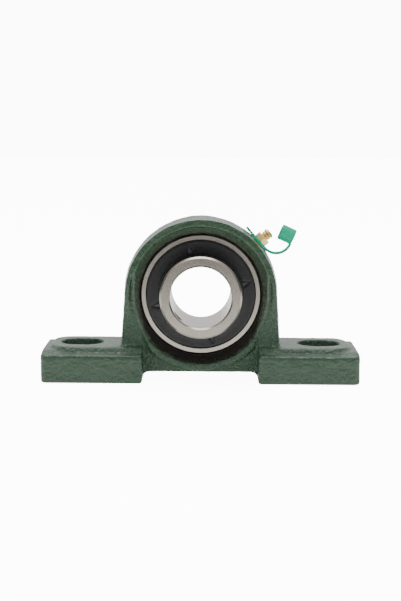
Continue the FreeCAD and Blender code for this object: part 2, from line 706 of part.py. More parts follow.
# Cage: two pressed ribbons that bulge round each ball and lie together between the balls, where they are riveted.
CAGE_INSIDE = f"({PITCH_RADIUS} - cage_width / 2)"
CAGE_OUTSIDE = f"({PITCH_RADIUS} + cage_width / 2)"
POCKET = f"({BALL_RADIUS} + pocket_clearance)"
CLEAR_OF_CAGE = f"({POCKET} + 2 * cage_thickness)"
BETWEEN_BALLS = "(90deg + 180deg / ball_count)"
for side in ("front", "back"):
    cage = body(f"cage_{side}", turned_about=side == "front")
    turned(
        cage,
        "ribbon",
        ("0", CAGE_INSIDE),
        ("0", CAGE_OUTSIDE),
        ("cage_thickness", CAGE_OUTSIDE),
        ("cage_thickness", CAGE_INSIDE),
    )
    bulge = cage.newObject("PartDesign::AdditiveSphere", "bulge")
    bind(bulge, Radius=f"{POCKET} + cage_thickness", Placement__Base__z=PITCH_RADIUS)
    doc.recompute()
    round_the_shaft(cage, "bulges", [bulge], "ball_count")
    turned(
        cage,
        "trim",
        (CLEAR_OF_CAGE, "0"),
        (CLEAR_OF_CAGE, CAGE_INSIDE),
        ("0", CAGE_INSIDE),
        ("0", CAGE_OUTSIDE),
        (CLEAR_OF_CAGE, CAGE_OUTSIDE),
        (CLEAR_OF_CAGE, f"{CAGE_OUTSIDE} + {CLEAR_OF_CAGE}"),
        (f"-{CLEAR_OF_CAGE}", f"{CAGE_OUTSIDE} + {CLEAR_OF_CAGE}"),
        (f"-{CLEAR_OF_CAGE}", "0"),
        cut=True,
    )
    pocket = cage.newObject("PartDesign::SubtractiveSphere", "pocket")
    bind(pocket, Radius=POCKET, Placement__Base__z=PITCH_RADIUS)
    doc.recompute()
    round_the_shaft(cage, "pockets", [pocket], "ball_count")
    hole = cage.newObject("PartDesign::SubtractiveCylinder", "rivet_hole")
    hole.Placement.Rotation = Rotation(Vector(1, 0, 0), 90)
    bind(
        hole,
        Radius="rivet_diameter / 2 + rivet_clearance",
        Height="4 * cage_thickness",
        Placement__Base__x=f"{PITCH_RADIUS} * cos({BETWEEN_BALLS})",
        Placement__Base__y="2 * cage_thickness",
        Placement__Base__z=f"{PITCH_RADIUS} * sin({BETWEEN_BALLS})",
    )
    doc.recompute()
    round_the_shaft(cage, "rivet_holes", [hole], "ball_count")

rivets = leaning_body("cage_rivets", "(90 + 180 / ball_count)")
rivets.AllowCompound = True
rivet = turned(
    rivets,
    "rivet",
    ("-cage_thickness - rivet_head_height", "0"),
    ("-cage_thickness - rivet_head_height", "rivet_head_diameter / 2 - rivet_head_height"),
    ("-cage_thickness", "rivet_head_diameter / 2"),
    ("-cage_thickness", "rivet_diameter / 2"),
    ("cage_thickness", "rivet_diameter / 2"),
    ("cage_thickness", "rivet_head_diameter / 2"),
    ("cage_thickness + rivet_head_height", "rivet_head_diameter / 2 - rivet_head_height"),
    ("cage_thickness + rivet_head_height", "0"),
    axis_at=PITCH_RADIUS,
)
round_the_shaft(rivets, "rivets", [rivet], "ball_count")

# Seals, pressed in the outer ring, and slingers, pressed on the inner ring outside them.
SEAL_OUT = "(seal_shoulder + seal_thickness)"
LIP = f"({INNER_RADIUS} + seal_lip_clearance)"
SLINGER_IN = f"({SEAL_OUT} + slinger_gap)"
SLINGER_OUT = f"({SLINGER_IN} + slinger_thickness)"
SLINGER_RIM = "(seal_bore / 2 - slinger_clearance)"
for side in ("front", "back"):
    seal = body(f"seal_{side}", turned_about=side == "front")
    turned(
        seal,
        "seal",
        ("seal_shoulder", "land_diameter / 2 - seal_thickness"),
        ("seal_shoulder", "seal_bore / 2"),
        (SEAL_OUT, "seal_bore / 2"),
        (SEAL_OUT, f"{LIP} + seal_thickness"),
        (f"{SEAL_OUT} - seal_thickness / 4", LIP),
        ("seal_shoulder + seal_thickness / 4", LIP),
        ("seal_shoulder + seal_thickness / 4", f"{LIP} + seal_thickness"),
    )
    slinger = body(f"slinger_{side}", turned_about=side == "front")
    turned(
        slinger,
        "slinger",
        (SLINGER_IN, INNER_RADIUS),
        (SLINGER_IN, SLINGER_RIM),
        (SLINGER_OUT, SLINGER_RIM),
        (SLINGER_OUT, f"{INNER_RADIUS} + slinger_collar_wall"),
        (f"{SLINGER_OUT} + slinger_collar", f"{INNER_RADIUS} + slinger_collar_wall / 2"),
        (f"{SLINGER_OUT} + slinger_collar", INNER_RADIUS),
    )

# Grease nipple: shank in the housing, cap ring under the hexagon, ridged head with a spring loaded ball.
NIPPLE_FOOT = f"({SPOT_FACE} - nipple_thread_length)"
WAIST_TOP = f"({HEXAGON_TOP} + neck_length)"
RIDGE_TOP = f"({WAIST_TOP} + collar_length)"
SPRING_FOOT = f"({NIPPLE_TIP} - spring_seat_depth)"
CHECK_BALL = f"({NIPPLE_TIP} - check_ball_depth)"
nipple = leaning_body("grease_nipple", "nipple_angle")
turned(
    nipple,
    "turned_shape",
    ("foot_passage_diameter / 2", NIPPLE_FOOT),
    ("nipple_thread / 2", NIPPLE_FOOT),
    ("nipple_thread / 2", HEXAGON_FOOT),
    ("waist_diameter / 2", HEXAGON_TOP),
    ("waist_diameter / 2", WAIST_TOP),
    ("collar_diameter / 2", f"{WAIST_TOP} + collar_length / 4"),
    ("collar_diameter / 2", f"{RIDGE_TOP} - collar_length / 4"),
    ("groove_diameter / 2", RIDGE_TOP),
    ("groove_diameter / 2", f"{RIDGE_TOP} + head_length / 8"),
    ("head_diameter / 2", f"{RIDGE_TOP} + head_length * 0.4"),
    ("head_diameter / 2", f"{RIDGE_TOP} + head_length * 0.55"),
    ("tip_diameter / 2", NIPPLE_TIP),
    ("mouth_diameter / 2", NIPPLE_TIP),
    ("mouth_diameter / 2", f"{NIPPLE_TIP} - mouth_depth"),
    ("passage_diameter / 2", f"{NIPPLE_TIP} - cone_depth"),
    ("passage_diameter / 2", SPRING_FOOT),
    ("foot_passage_diameter / 2", SPRING_FOOT),
    upright=True,
)
flats = sketch_on(nipple, "XY_Plane", "hexagon_outline", HEXAGON_FOOT)
hexagon(flats, "hexagon_width")
circle(flats, "0", "0", "passage_diameter / 2")
padded(nipple, "hexagon", flats, "hexagon_height")

check_ball = doc.addObject("Part::Sphere", "nipple_check_ball")
check_ball.Label = "nipple_check_ball"
bind(
    check_ball,
    Radius="check_ball_diameter / 2",
    Placement__Base__x=f"{CHECK_BALL} * cos(nipple_angle * 1deg)",
    Placement__Base__z=f"bore_height + {CHECK_BALL} * sin(nipple_angle * 1deg)",
)

spring = leaning_body("nipple_spring", "nipple_angle")
COIL = "((passage_diameter - spring_wire) / 2 - spring_clearance)"
SPRING_LENGTH = f"({CHECK_BALL} - check_ball_diameter / 2 - {SPRING_FOOT} - 2 * spring_wire)"
wire = sketch_on(spring, "XZ_Plane", "wire_section")
circle(wire, COIL, f"{SPRING_FOOT} + spring_wire", "spring_wire / 2")
coil = spring.newObject("PartDesign::AdditiveHelix", "coil")
coil.Profile = wire
coil.ReferenceAxis = (wire, ["V_Axis"])
coil.Mode = "pitch-height-angle"
bind(coil, Pitch=f"{SPRING_LENGTH} / spring_turns", Height=SPRING_LENGTH)
doc.recompute()

# Cap ring under the hexagon of the nipple. Its X points down the barrel, towards the strap.
cap_ring = leaning_body("cap_ring", "nipple_angle")
STRAP_FOOT = f"({STRAP_LEVEL} - strap_thickness / 2)"
STRAP_START = "(ring_diameter / 2 + strap_tab)"
tail = sketch_on(cap_ring, "XY_Plane", "tail_outline", STRAP_FOOT)
outline(
    tail,
    ("-ring_diameter / 2 - tail_length + strap_width / 2", "-strap_width / 2"),
    (STRAP_START, "-strap_width / 2"),
    (STRAP_START, "strap_width / 2"),
    ("-ring_diameter / 2 - tail_length + strap_width / 2", "strap_width / 2", ("tangent", 1)),
)
padded(cap_ring, "tail", tail, "strap_thickness")
washer = sketch_on(cap_ring, "XY_Plane", "washer_outline", SPOT_FACE)
circle(washer, "0", "0", "ring_diameter / 2")
padded(cap_ring, "washer", washer, "ring_thickness")
hole = sketch_on(cap_ring, "XY_Plane", "washer_hole", HEXAGON_FOOT)
circle(hole, "0", "0", "nipple_thread / 2")
pocketed(cap_ring, "hole", hole, "ring_thickness")

# Strap: leaves the ring level with it and curls up to the closed end of the cap.
cap_strap = leaning_body("cap_strap", "nipple_angle")
curl = sketch_on(cap_strap, "XZ_Plane", "strap_outline")
TURN = "strap_turn * 1deg"


def on_the_curl(radius):
    """Where the strap ends, at this distance from the middle of its curl."""
    return f"{STRAP_START} + {radius} * sin({TURN})", f"{STRAP_LEVEL} + strap_bend_radius - {radius} * cos({TURN})"


OUTER_CURL = "(strap_bend_radius + strap_thickness / 2)"
INNER_CURL = "(strap_bend_radius - strap_thickness / 2)"
outline(
    curl,
    (STRAP_START, STRAP_FOOT, (OUTER_CURL, 1)),
    on_the_curl(OUTER_CURL),
    (*on_the_curl(INNER_CURL), (INNER_CURL, -1)),
    (STRAP_START, f"{STRAP_LEVEL} + strap_thickness / 2"),
)
padded(cap_strap, "strap", curl, "strap_width", both_ways=True)

# Dust cap: an open cup, its closed end carried on from the strap. Its Z points to its mouth.
END_X, END_Z = on_the_curl("strap_bend_radius")
REACH = "(cap_diameter / 2 + strap_tab)"
FACE_X = f"({END_X} + {REACH} * cos({TURN}) + strap_thickness / 2 * sin({TURN}))"
FACE_Z = f"({END_Z} + {REACH} * sin({TURN}) - strap_thickness / 2 * cos({TURN}))"
dust_cap = leaning_body(
    "dust_cap",
    "nipple_angle + strap_turn",
    x=f"{FACE_X} * sin(nipple_angle * 1deg) + {FACE_Z} * cos(nipple_angle * 1deg)",
    z=f"{FACE_Z} * sin(nipple_angle * 1deg) - {FACE_X} * cos(nipple_angle * 1deg)",
)
turned(
    dust_cap,
    "cup",
    ("0", "0"),
    ("cap_diameter / 2 - cap_edge_radius", "0", ("cap_edge_radius", 1)),
    ("cap_diameter / 2", "cap_edge_radius"),
    ("cap_diameter / 2", "cap_length"),
    ("cap_diameter / 2 - cap_wall", "cap_length"),
    ("cap_diameter / 2 - cap_wall", "cap_wall"),
    ("0", "cap_wall"),
    upright=True,
)
tab = sketch_on(dust_cap, "XY_Plane", "tab_outline")
outline(
    tab,
    (f"-{REACH}", "-strap_width / 2"),
    ("-cap_diameter / 2 + cap_wall", "-strap_width / 2"),
    ("-cap_diameter / 2 + cap_wall", "strap_width / 2"),
    (f"-{REACH}", "strap_width / 2"),
)
padded(dust_cap, "tab", tab, "strap_thickness")

for thing in doc.Objects:
    if "Invalid" in thing.State or "Error" in thing.State:
        raise ValueError(f"{thing.Label}: {thing.State}")
pieces = [thing for thing in doc.Objects if thing.TypeId in ("PartDesign::Body", "Part::Sphere")]
for piece in pieces:
    if piece.Shape.isNull() or not piece.Shape.isValid():
        raise ValueError(f"{piece.Label} has no valid shape")
os.makedirs("parts", exist_ok=True)
for piece in pieces:
    piece.Shape.exportStep(f"parts/{piece.Label}.step")
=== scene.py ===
# %% [markdown]
# A pillow block bearing carries a turning shaft: an iron housing is bolted down by its two slotted feet, and a ball
# bearing with a long inner ring sits in a spherical seat inside it. This file dresses the finished construction,
# which is loaded as a fixed frame in metres: X along the base, Y along the shaft with the front at -Y, Z up.

# %% Load the construction
import json
import math

import bmesh
import bpy
from mathutils import Matrix, Vector


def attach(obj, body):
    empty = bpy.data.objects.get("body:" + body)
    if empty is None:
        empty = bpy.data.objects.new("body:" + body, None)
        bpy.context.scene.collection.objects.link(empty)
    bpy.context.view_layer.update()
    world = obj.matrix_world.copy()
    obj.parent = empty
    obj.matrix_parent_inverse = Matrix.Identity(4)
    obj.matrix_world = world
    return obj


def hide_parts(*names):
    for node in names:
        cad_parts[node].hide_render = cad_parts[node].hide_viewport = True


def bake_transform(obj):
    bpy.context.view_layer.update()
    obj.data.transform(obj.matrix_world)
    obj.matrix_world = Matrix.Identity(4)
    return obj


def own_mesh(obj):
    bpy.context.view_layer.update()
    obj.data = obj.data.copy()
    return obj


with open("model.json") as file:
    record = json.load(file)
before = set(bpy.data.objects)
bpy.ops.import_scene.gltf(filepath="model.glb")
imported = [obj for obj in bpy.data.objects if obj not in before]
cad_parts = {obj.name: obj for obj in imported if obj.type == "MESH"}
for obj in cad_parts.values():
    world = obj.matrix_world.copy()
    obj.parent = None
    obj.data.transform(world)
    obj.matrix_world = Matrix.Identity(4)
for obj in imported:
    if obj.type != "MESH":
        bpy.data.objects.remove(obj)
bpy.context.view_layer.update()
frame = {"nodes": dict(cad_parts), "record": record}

MM = 0.001

# %% [markdown]
# Most pieces of a bearing are turned round one line, the shaft axis. Its height is read from the record's shaft
# bore, so that every ring drawn here stays on the axis that the construction has.

# %% The shaft axis
mounts = {mount["name"]: mount for mount in frame["record"]["mounts"]}
AXIS_HEIGHT = mounts["shaft_bore"]["pos_m"][2]
SHAFT_RADIUS = mounts["shaft_bore"]["dims"]["r_mm"] * MM
print("shaft axis at", round(AXIS_HEIGHT / MM, 2), "mm, bore radius", round(SHAFT_RADIUS / MM, 2), "mm")

# %% [markdown]
# The camera first, because every colour and edge is judged through it. A product photographer stands well back with
# a long lens, which keeps the rings round. The distance, the small tilt down and the lens length were worked out
# from where the feet, the rings and the slots fall in the picture.

# %% Camera
CAMERA_DISTANCE = 661.5 * MM
CAMERA_TILT = math.radians(8.31)
CAMERA_TURN = math.radians(0.11)
CAMERA_ROLL = math.radians(0.42)
LENS = 78.9
LOOK_AT = Vector((-0.15, 0, 38.5)) * MM

camera = bpy.data.objects.new("camera", bpy.data.cameras.new("camera"))
bpy.context.scene.collection.objects.link(camera)
camera.data.sensor_width = 36
camera.data.lens = LENS
back = Vector((
    math.sin(CAMERA_TURN) * math.cos(CAMERA_TILT),
    -math.cos(CAMERA_TURN) * math.cos(CAMERA_TILT),
    math.sin(CAMERA_TILT),
))
camera.location = LOOK_AT + back * CAMERA_DISTANCE
aim = (-back).to_track_quat("-Z", "Y").to_matrix() @ Matrix.Rotation(CAMERA_ROLL, 3, "Z")
camera.rotation_euler = aim.to_euler()
camera.data.clip_start = 10 * MM
camera.data.clip_end = 20
bpy.context.scene.camera = camera
print("camera at", [round(v / MM) for v in camera.location], "mm")

# %% [markdown]
# Every material and node tree below is put together by one small function. It adds a node, sets its properties, and
# gives each input a number, a colour or a link from another node.

# %% A helper for nodes, and one for colours
def add(tree, kind, inputs=(), **settings):
    """Add a node with its settings, its values and its links."""
    node = tree.nodes.new(kind)
    for name, value in settings.items():
        setattr(node, name, value)
    for name, value in dict(inputs).items():
        if isinstance(value, bpy.types.NodeSocket):
            tree.links.new(value, node.inputs[name])
        else:
            node.inputs[name].default_value = value
    return node


def linear(hex_colour):
    """An sRGB hex colour as the linear one that a shader wants."""
    parts = [int(hex_colour[i : i + 2], 16) / 255 for i in (1, 3, 5)]
    return (*(c / 12.92 if c <= 0.04045 else ((c + 0.055) / 1.055) ** 2.4 for c in parts), 1.0)


# %% [markdown]
# Five kinds of node come up again and again: a sum, noise, a value moved from one range to another, a blend of two
# colours, and relief from a height. Each has a short helper that adds the node and gives its output. Noise mostly lies
# between 0.3 and 0.7, so that span is stretched where noise drives something, or a wider one for a gentler change.

# %% Helpers for common nodes
NOISE_SPAN = (0.3, 0.7)
WIDE_SPAN = (0.2, 0.8)


def calc(tree, operation, *values):
    """The result of a sum with one, two or three values."""
    return add(tree, "ShaderNodeMath", dict(enumerate(values)), operation=operation).outputs["Value"]


def noise(tree, place, size, **more):
    """Noise whose clouds are about this size."""
    return add(tree, "ShaderNodeTexNoise", {"Vector": place, "Scale": 1 / size, **more}).outputs["Fac"]


def ranged(tree, value, source, target=(0.0, 1.0), curve="LINEAR"):
    """A value moved from one range to another and held at its ends."""
    sizes = {"Value": value, "From Min": source[0], "From Max": source[1], "To Min": target[0], "To Max": target[1]}
    return add(tree, "ShaderNodeMapRange", sizes, interpolation_type=curve).outputs["Result"]


def eased(tree, value, source, target=(0.0, 1.0)):
    """The same with a soft start and a soft end."""
    return ranged(tree, value, source, target, curve="SMOOTHSTEP")


def mixed(tree, factor, one, two):
    """A blend of two colours."""
    return add(tree, "ShaderNodeMix", {0: factor, 6: one, 7: two}, data_type="RGBA").outputs[2]


def bumped(tree, height, depth):
    """Relief in the shading, from a height."""
    return add(tree, "ShaderNodeBump", {"Height": height, "Distance": depth, "Strength": 1.0}).outputs["Normal"]


# %% [markdown]
# Every material starts as one principled shader, whose sockets take either a constant or a link.

# %% Helpers for sheets and materials
def flat_sheet(name, x, near, far, height):
    """A level rectangle that belongs to the studio."""
    mesh = bpy.data.meshes.new(name)
    mesh.from_pydata([(-x, near, height), (x, near, height), (x, far, height), (-x, far, height)], [], [(0, 1, 2, 3)])
    sheet = bpy.data.objects.new(name, mesh)
    bpy.context.scene.collection.objects.link(sheet)
    return sheet


def new_material(name):
    """An empty material with a principled shader, and its node tree."""
    material = bpy.data.materials.new(name)
    material.use_nodes = True
    tree = material.node_tree
    tree.nodes.clear()
    shader = add(tree, "ShaderNodeBsdfPrincipled")
    add(tree, "ShaderNodeOutputMaterial", {"Surface": shader.outputs["BSDF"]})
    return material, tree, shader


def give(shader, values):
    """Set a shader's sockets: links where the value is a socket, else a constant."""
    for name, value in values.items():
        if isinstance(value, bpy.types.NodeSocket):
            shader.id_data.links.new(value, shader.inputs[name])
        else:
            shader.inputs[name].default_value = value


# %% [markdown]
# The picture was taken on a white sweep: floor and background both burn out to white, and what shows on the part
# is soft light from above and the bright floor mirrored in the enamel from below. Paper that burns out is several
# times brighter to the camera than the light it really throws back, so camera rays see their own, higher level.

# %% The white floor
FLOOR_SIZE = 6.0
BURNT_OUT = 11.0
FLOOR_GLOW = 0.85
PAPER = linear("#f4f4f2")
WHITE = (1, 1, 1, 1)

floor = flat_sheet("floor", FLOOR_SIZE / 2, -FLOOR_SIZE / 2, FLOOR_SIZE / 2, 0)
material, tree, shader = new_material("white_paper_sweep")
to_camera = add(tree, "ShaderNodeLightPath").outputs["Is Camera Ray"]
seen = add(tree, "ShaderNodeMix", {0: to_camera, 2: FLOOR_GLOW, 3: BURNT_OUT}).outputs[0]
give(shader, {
    "Base Color": PAPER, "Roughness": 0.9, "Specular IOR Level": 0.2,
    "Emission Color": WHITE, "Emission Strength": seen,
})
floor.data.materials.append(material)
print("floor", FLOOR_SIZE, "m wide, seen", round(BURNT_OUT / FLOOR_GLOW), "times as bright as it shines")

# %% [markdown]
# A dark card lies in front of the part, out of the camera's sight. Photographers use one to keep a shape in glossy
# upright faces: high up they mirror the card and stay deep, low down they mirror the white paper and turn grey. The
# card starts as white as the floor and gets darker towards the camera, so that the change is soft.

# %% The dark card
CARD_NEAR = -900 * MM
CARD_FAR = -210 * MM
CARD_FULL_BLACK = -390 * MM
CARD_HALF_WIDTH = 500 * MM
CARD_HEIGHT = 1 * MM

card = flat_sheet("dark_card", CARD_HALF_WIDTH, CARD_NEAR, CARD_FAR, CARD_HEIGHT)
material, tree, shader = new_material("black_card")
place = add(tree, "ShaderNodeTexCoord").outputs["Object"]
along = add(tree, "ShaderNodeSeparateXYZ", {"Vector": place}).outputs["Y"]
fade = eased(tree, along, (CARD_FAR, CARD_FULL_BLACK))
shade = mixed(tree, fade, PAPER, linear("#080808"))
glow = ranged(tree, fade, (0.0, 1.0), (FLOOR_GLOW, 0.0))
give(shader, {"Base Color": shade, "Roughness": 0.9, "Emission Color": WHITE, "Emission Strength": glow})
card.data.materials.append(material)
for ray in ("camera", "diffuse", "shadow", "transmission"):
    setattr(card, f"visible_{ray}", False)
print("card from", round(CARD_FAR / MM), "to", round(CARD_NEAR / MM), "mm, for mirrored light only")

# %% [markdown]
# Three soft boxes shape the part. The large one overhead draws the light band on the crown and makes the feet's tops
# bright, and two weak ones from the front open the shadows. The right one is a little stronger, as in the picture.

# %% Soft lights
OVERHEAD_WATTS = 8
LEFT_WATTS = 1.3
RIGHT_WATTS = 1.7
BOX_SIZE = 0.6


def soft_light(name, place, watts):
    """A square soft box that shines from a place towards the bearing."""
    lamp = bpy.data.lights.new(name, "AREA")
    lamp.shape = "SQUARE"
    lamp.size = BOX_SIZE
    lamp.energy = watts
    holder = bpy.data.objects.new(name, lamp)
    holder.location = place
    towards = Vector((0, 0, AXIS_HEIGHT)) - Vector(place)
    holder.rotation_euler = towards.to_track_quat("-Z", "Y").to_euler()
    bpy.context.scene.collection.objects.link(holder)


soft_light("overhead", (0, 0.05, 0.9), OVERHEAD_WATTS)
soft_light("front_left", (-0.8, -1.1, 0.55), LEFT_WATTS)
soft_light("front_right", (0.8, -1.1, 0.55), RIGHT_WATTS)
print("lights of", OVERHEAD_WATTS, LEFT_WATTS, RIGHT_WATTS, "W")

# %% [markdown]
# The room around is the world. It is dim at the height of the eye and brighter overhead, and the paper that rises
# behind the part adds a broad glow from the back, which is what the feet's tops mirror. Camera rays see it burnt out.

# %% The room
ROOM_LOW = 0.12
ROOM_HIGH = 1.1
UPWARD_SPAN = (0.25, 0.8)
SWEEP_BEHIND = 1.3
BACKWARD_SPAN = (0.05, 0.75)

sky = bpy.data.worlds.new("white_room")
bpy.context.scene.world = sky
sky.use_nodes = True
tree = sky.node_tree
tree.nodes.clear()
direction = add(tree, "ShaderNodeTexCoord").outputs["Generated"]
towards = add(tree, "ShaderNodeSeparateXYZ", {"Vector": direction}).outputs
overhead = ranged(tree, towards["Z"], UPWARD_SPAN, (ROOM_LOW, ROOM_HIGH))
behind = eased(tree, towards["Y"], BACKWARD_SPAN, (0.0, SWEEP_BEHIND))
around = calc(tree, "ADD", overhead, behind)
to_camera = add(tree, "ShaderNodeLightPath").outputs["Is Camera Ray"]
level = add(tree, "ShaderNodeMix", {0: to_camera, 2: around, 3: BURNT_OUT}).outputs[0]
backdrop = add(tree, "ShaderNodeBackground", {"Color": WHITE, "Strength": level}).outputs["Background"]
add(tree, "ShaderNodeOutputWorld", {"Surface": backdrop})
print("room from", ROOM_LOW, "to", ROOM_HIGH, "and", SWEEP_BEHIND, "more behind the part")

# %% [markdown]
# Many patterns below are rings or patches round the shaft, so most materials begin with the same two things: where a
# point is, measured from the shaft axis, and how far it is from that axis. Object coordinates are used throughout,
# because every object sits at the origin and they are then simply metres.

# %% Places for materials
def place_from_shaft(tree):
    """Where a point is, in metres, with the shaft axis at zero height."""
    place = add(tree, "ShaderNodeTexCoord").outputs["Object"]
    return add(tree, "ShaderNodeMapping", {"Vector": place, "Location": (0, 0, -AXIS_HEIGHT)}).outputs["Vector"]


def radius_from_shaft(tree, place):
    """How far a point is from the shaft axis, in metres."""
    flat = add(tree, "ShaderNodeVectorMath", {0: place, 1: (1, 0, 1)}, operation="MULTIPLY")
    return add(tree, "ShaderNodeVectorMath", {0: flat.outputs["Vector"]}, operation="LENGTH").outputs["Value"]


# %% [markdown]
# Inside the housing a tool has cut the seat after painting, and the bare iron there is nearly black. Lower down the
# same dark reaches out over the cone round the seat, and that part is painted shade of the recess. A mask shows where:
# everything nearer to the shaft than the seat's edge, and further out the lower it is, with a ragged border.

# %% The machined seat, and painted shade low in its recess
SEAT_EDGE = 30.5 * MM
SHADE_REACH = 3.0 * MM
SHADE_LOWEST = -31 * MM
SHADE_HIGHEST = -2 * MM
PATCH_SIZE = 4 * MM
RAGGED = (-0.3 * MM, 0.4 * MM)
BORDER = (SEAT_EDGE + 0.7 * MM, SEAT_EDGE - 0.5 * MM)


def seat_and_painted_shade(tree, place):
    """1 where the seat was cut, and where painted shade reaches out over the cone low down; 0 on the enamel."""
    radius = radius_from_shaft(tree, place)
    height = add(tree, "ShaderNodeSeparateXYZ", {"Vector": place}).outputs["Z"]
    # Painted shade: the dark reaches further out over the cone the lower it is.
    shade_spread = eased(tree, height, (SHADE_LOWEST, SHADE_HIGHEST), (SHADE_REACH, 0.0))
    patchy = noise(tree, place, PATCH_SIZE, Detail=2.0)
    ragged = ranged(tree, patchy, NOISE_SPAN, RAGGED)
    reach = calc(tree, "ADD", shade_spread, ragged)
    inner = calc(tree, "SUBTRACT", radius, reach)
    return eased(tree, inner, BORDER)


# %% [markdown]
# The enamel is a dark green that is a little lighter where the film is thin on a wave's crest. It hardly reached
# into the recess round the seat, where it is greyer. Noise would be the wrong tool for that last change, because it
# follows the shape: it comes from the distance to the shaft.

# %% Colours of the housing
FILM_DEEP = linear("#17361f")
FILM_THIN = linear("#1c3d24")
FILM_INSIDE = linear("#3a483a")
# Nearly black: the bare cut iron, and painted shade low in the recess round it.
DARK_IRON_AND_SHADE = linear("#120f0b")
MOUTH_RADIUS = 33.9 * MM
MOUTH_FADE = 0.5 * MM


def housing_colour(tree, place, waves, seat_and_shade):
    """Green film, greyer inside the mouth, black on the cut seat and with painted shade low in the recess."""
    film = mixed(tree, waves, FILM_DEEP, FILM_THIN)
    inside = eased(tree, radius_from_shaft(tree, place), (MOUTH_RADIUS, MOUTH_RADIUS - MOUTH_FADE))
    film = mixed(tree, inside, film, FILM_INSIDE)
    return mixed(tree, seat_and_shade, film, DARK_IRON_AND_SHADE)


# %% [markdown]
# Sand leaves grains of about a millimetre. In the picture they are plain on the feet and the web and nearly gone on
# the crown, where the enamel ran together, and the front of the feet is calmer too. So the depth of the grain goes
# with height and with distance from the middle.

# %% Where the sand shows
CALM_HEIGHT = 8 * MM
ROUGH_HEIGHT = -20 * MM
CALM_GRAIN = 0.3
FRONT_STARTS = 20.6 * MM
FRONT_FACE = 21.8 * MM
FRONT_GRAIN = 0.4


def sandy_parts(tree, place, cast):
    """How much of the sand's grain shows: 1 low down, little on the crown, none where the iron was cut."""
    parts = add(tree, "ShaderNodeSeparateXYZ", {"Vector": place}).outputs
    low = ranged(tree, parts["Z"], (CALM_HEIGHT, ROUGH_HEIGHT), (CALM_GRAIN, 1.0))
    depth = calc(tree, "ABSOLUTE", parts["Y"])
    front = ranged(tree, depth, (FRONT_STARTS, FRONT_FACE), (1.0, FRONT_GRAIN))
    sandy = calc(tree, "MULTIPLY", low, cast)
    return calc(tree, "MULTIPLY", sandy, front)


# %% [markdown]
# The housing is grey iron cast in sand and dipped in green enamel. The film is thick and glossy: it fills the finest
# pits and mirrors the room. Two bumps lie on each other, the slow waves of the pattern and the quick grains of the
# sand, and the film is slightly duller where the grain is coarse.

# %% Enamelled cast iron
SAND_GRAIN = 1.3 * MM
SAND_SPAN = (0.36, 0.66)
SAND_DEPTH = 0.34 * MM
WAVE_LENGTH = 5 * MM
WAVE_DEPTH = 0.3 * MM


def enamelled_cast_iron():
    """Dark green enamel over a sand casting, with a machined seat and painted shade low in the recess round it."""
    material, tree, shader = new_material("enamelled_cast_iron")
    place = place_from_shaft(tree)
    # The cut seat, and painted shade low in the recess round it.
    seat_and_shade = seat_and_painted_shade(tree, place)
    cast = calc(tree, "SUBTRACT", 1.0, seat_and_shade)
    sandy = sandy_parts(tree, place, cast)
    grains = noise(tree, place, SAND_GRAIN, Detail=2.5, Roughness=0.55)
    grains = eased(tree, grains, SAND_SPAN)
    waves = noise(tree, place, WAVE_LENGTH, Detail=1.0)
    slow = calc(tree, "MULTIPLY", waves, cast)
    quick = calc(tree, "MULTIPLY", grains, sandy)
    relief = bumped(tree, slow, WAVE_DEPTH)
    relief = add(tree, "ShaderNodeBump", {"Height": quick, "Distance": SAND_DEPTH, "Strength": 1.0,
                                          "Normal": relief}).outputs["Normal"]
    satin = ranged(tree, sandy, (CALM_GRAIN, 1.0), (0.27, 0.36))
    gloss = add(tree, "ShaderNodeMix", {0: seat_and_shade, 2: satin, 3: 0.5}).outputs[0]
    give(shader, {"Base Color": housing_colour(tree, place, waves, seat_and_shade), "Roughness": gloss, "Normal": relief,
                  "IOR": 1.52})
    return material


# %% [markdown]
# The rings are hardened bearing steel. Their faces are ground or turned, which leaves fine rings round the shaft, so
# the light smears into soft beams. Those rings are closer than the picture can show: they are drawn 0.25 mm apart.

# %% Ground bearing steel
TURNING_PITCH = 0.25 * MM


def ground_steel(name, colour="#9b968d", cloud_colour="#8e8980", roughness=0.26):
    """Bearing steel with fine turned rings round the shaft."""
    material, tree, shader = new_material(name)
    place = place_from_shaft(tree)
    radius = radius_from_shaft(tree, place)
    along = add(tree, "ShaderNodeSeparateXYZ", {"Vector": place}).outputs["Y"]
    level = add(tree, "ShaderNodeCombineXYZ", {"X": radius, "Y": along}).outputs["Vector"]
    rings = noise(tree, level, TURNING_PITCH, Detail=2.0, Roughness=0.7)
    cloud = noise(tree, place, 7 * MM, Detail=3.0)
    tint = mixed(tree, cloud, linear(colour), linear(cloud_colour))
    gloss = ranged(tree, rings, WIDE_SPAN, (roughness - 0.06, roughness + 0.08))
    relief = bumped(tree, rings, 0.006 * MM)
    give(shader, {"Base Color": tint, "Roughness": gloss, "Normal": relief, "Metallic": 1.0})
    return material


# %% [markdown]
# The slingers are held on the inner ring by four staking marks, and the tongue of each is painted lighter: a painted
# highlight where the bent metal catches the light. The marks are a quarter turn apart, so one tongue is drawn and the
# angle round the shaft is wrapped: every quarter turn is told that it is the first.

# %% Painted highlights on the staking marks
FIRST_MARK = math.radians(14.5)
MARK_OPEN = 21.4 * MM
MARK_TIP = 25.0 * MM
TONGUE_WIDTH = 1.6 * MM
TONGUE_EDGE = 0.15 * MM
QUARTER = math.pi / 2


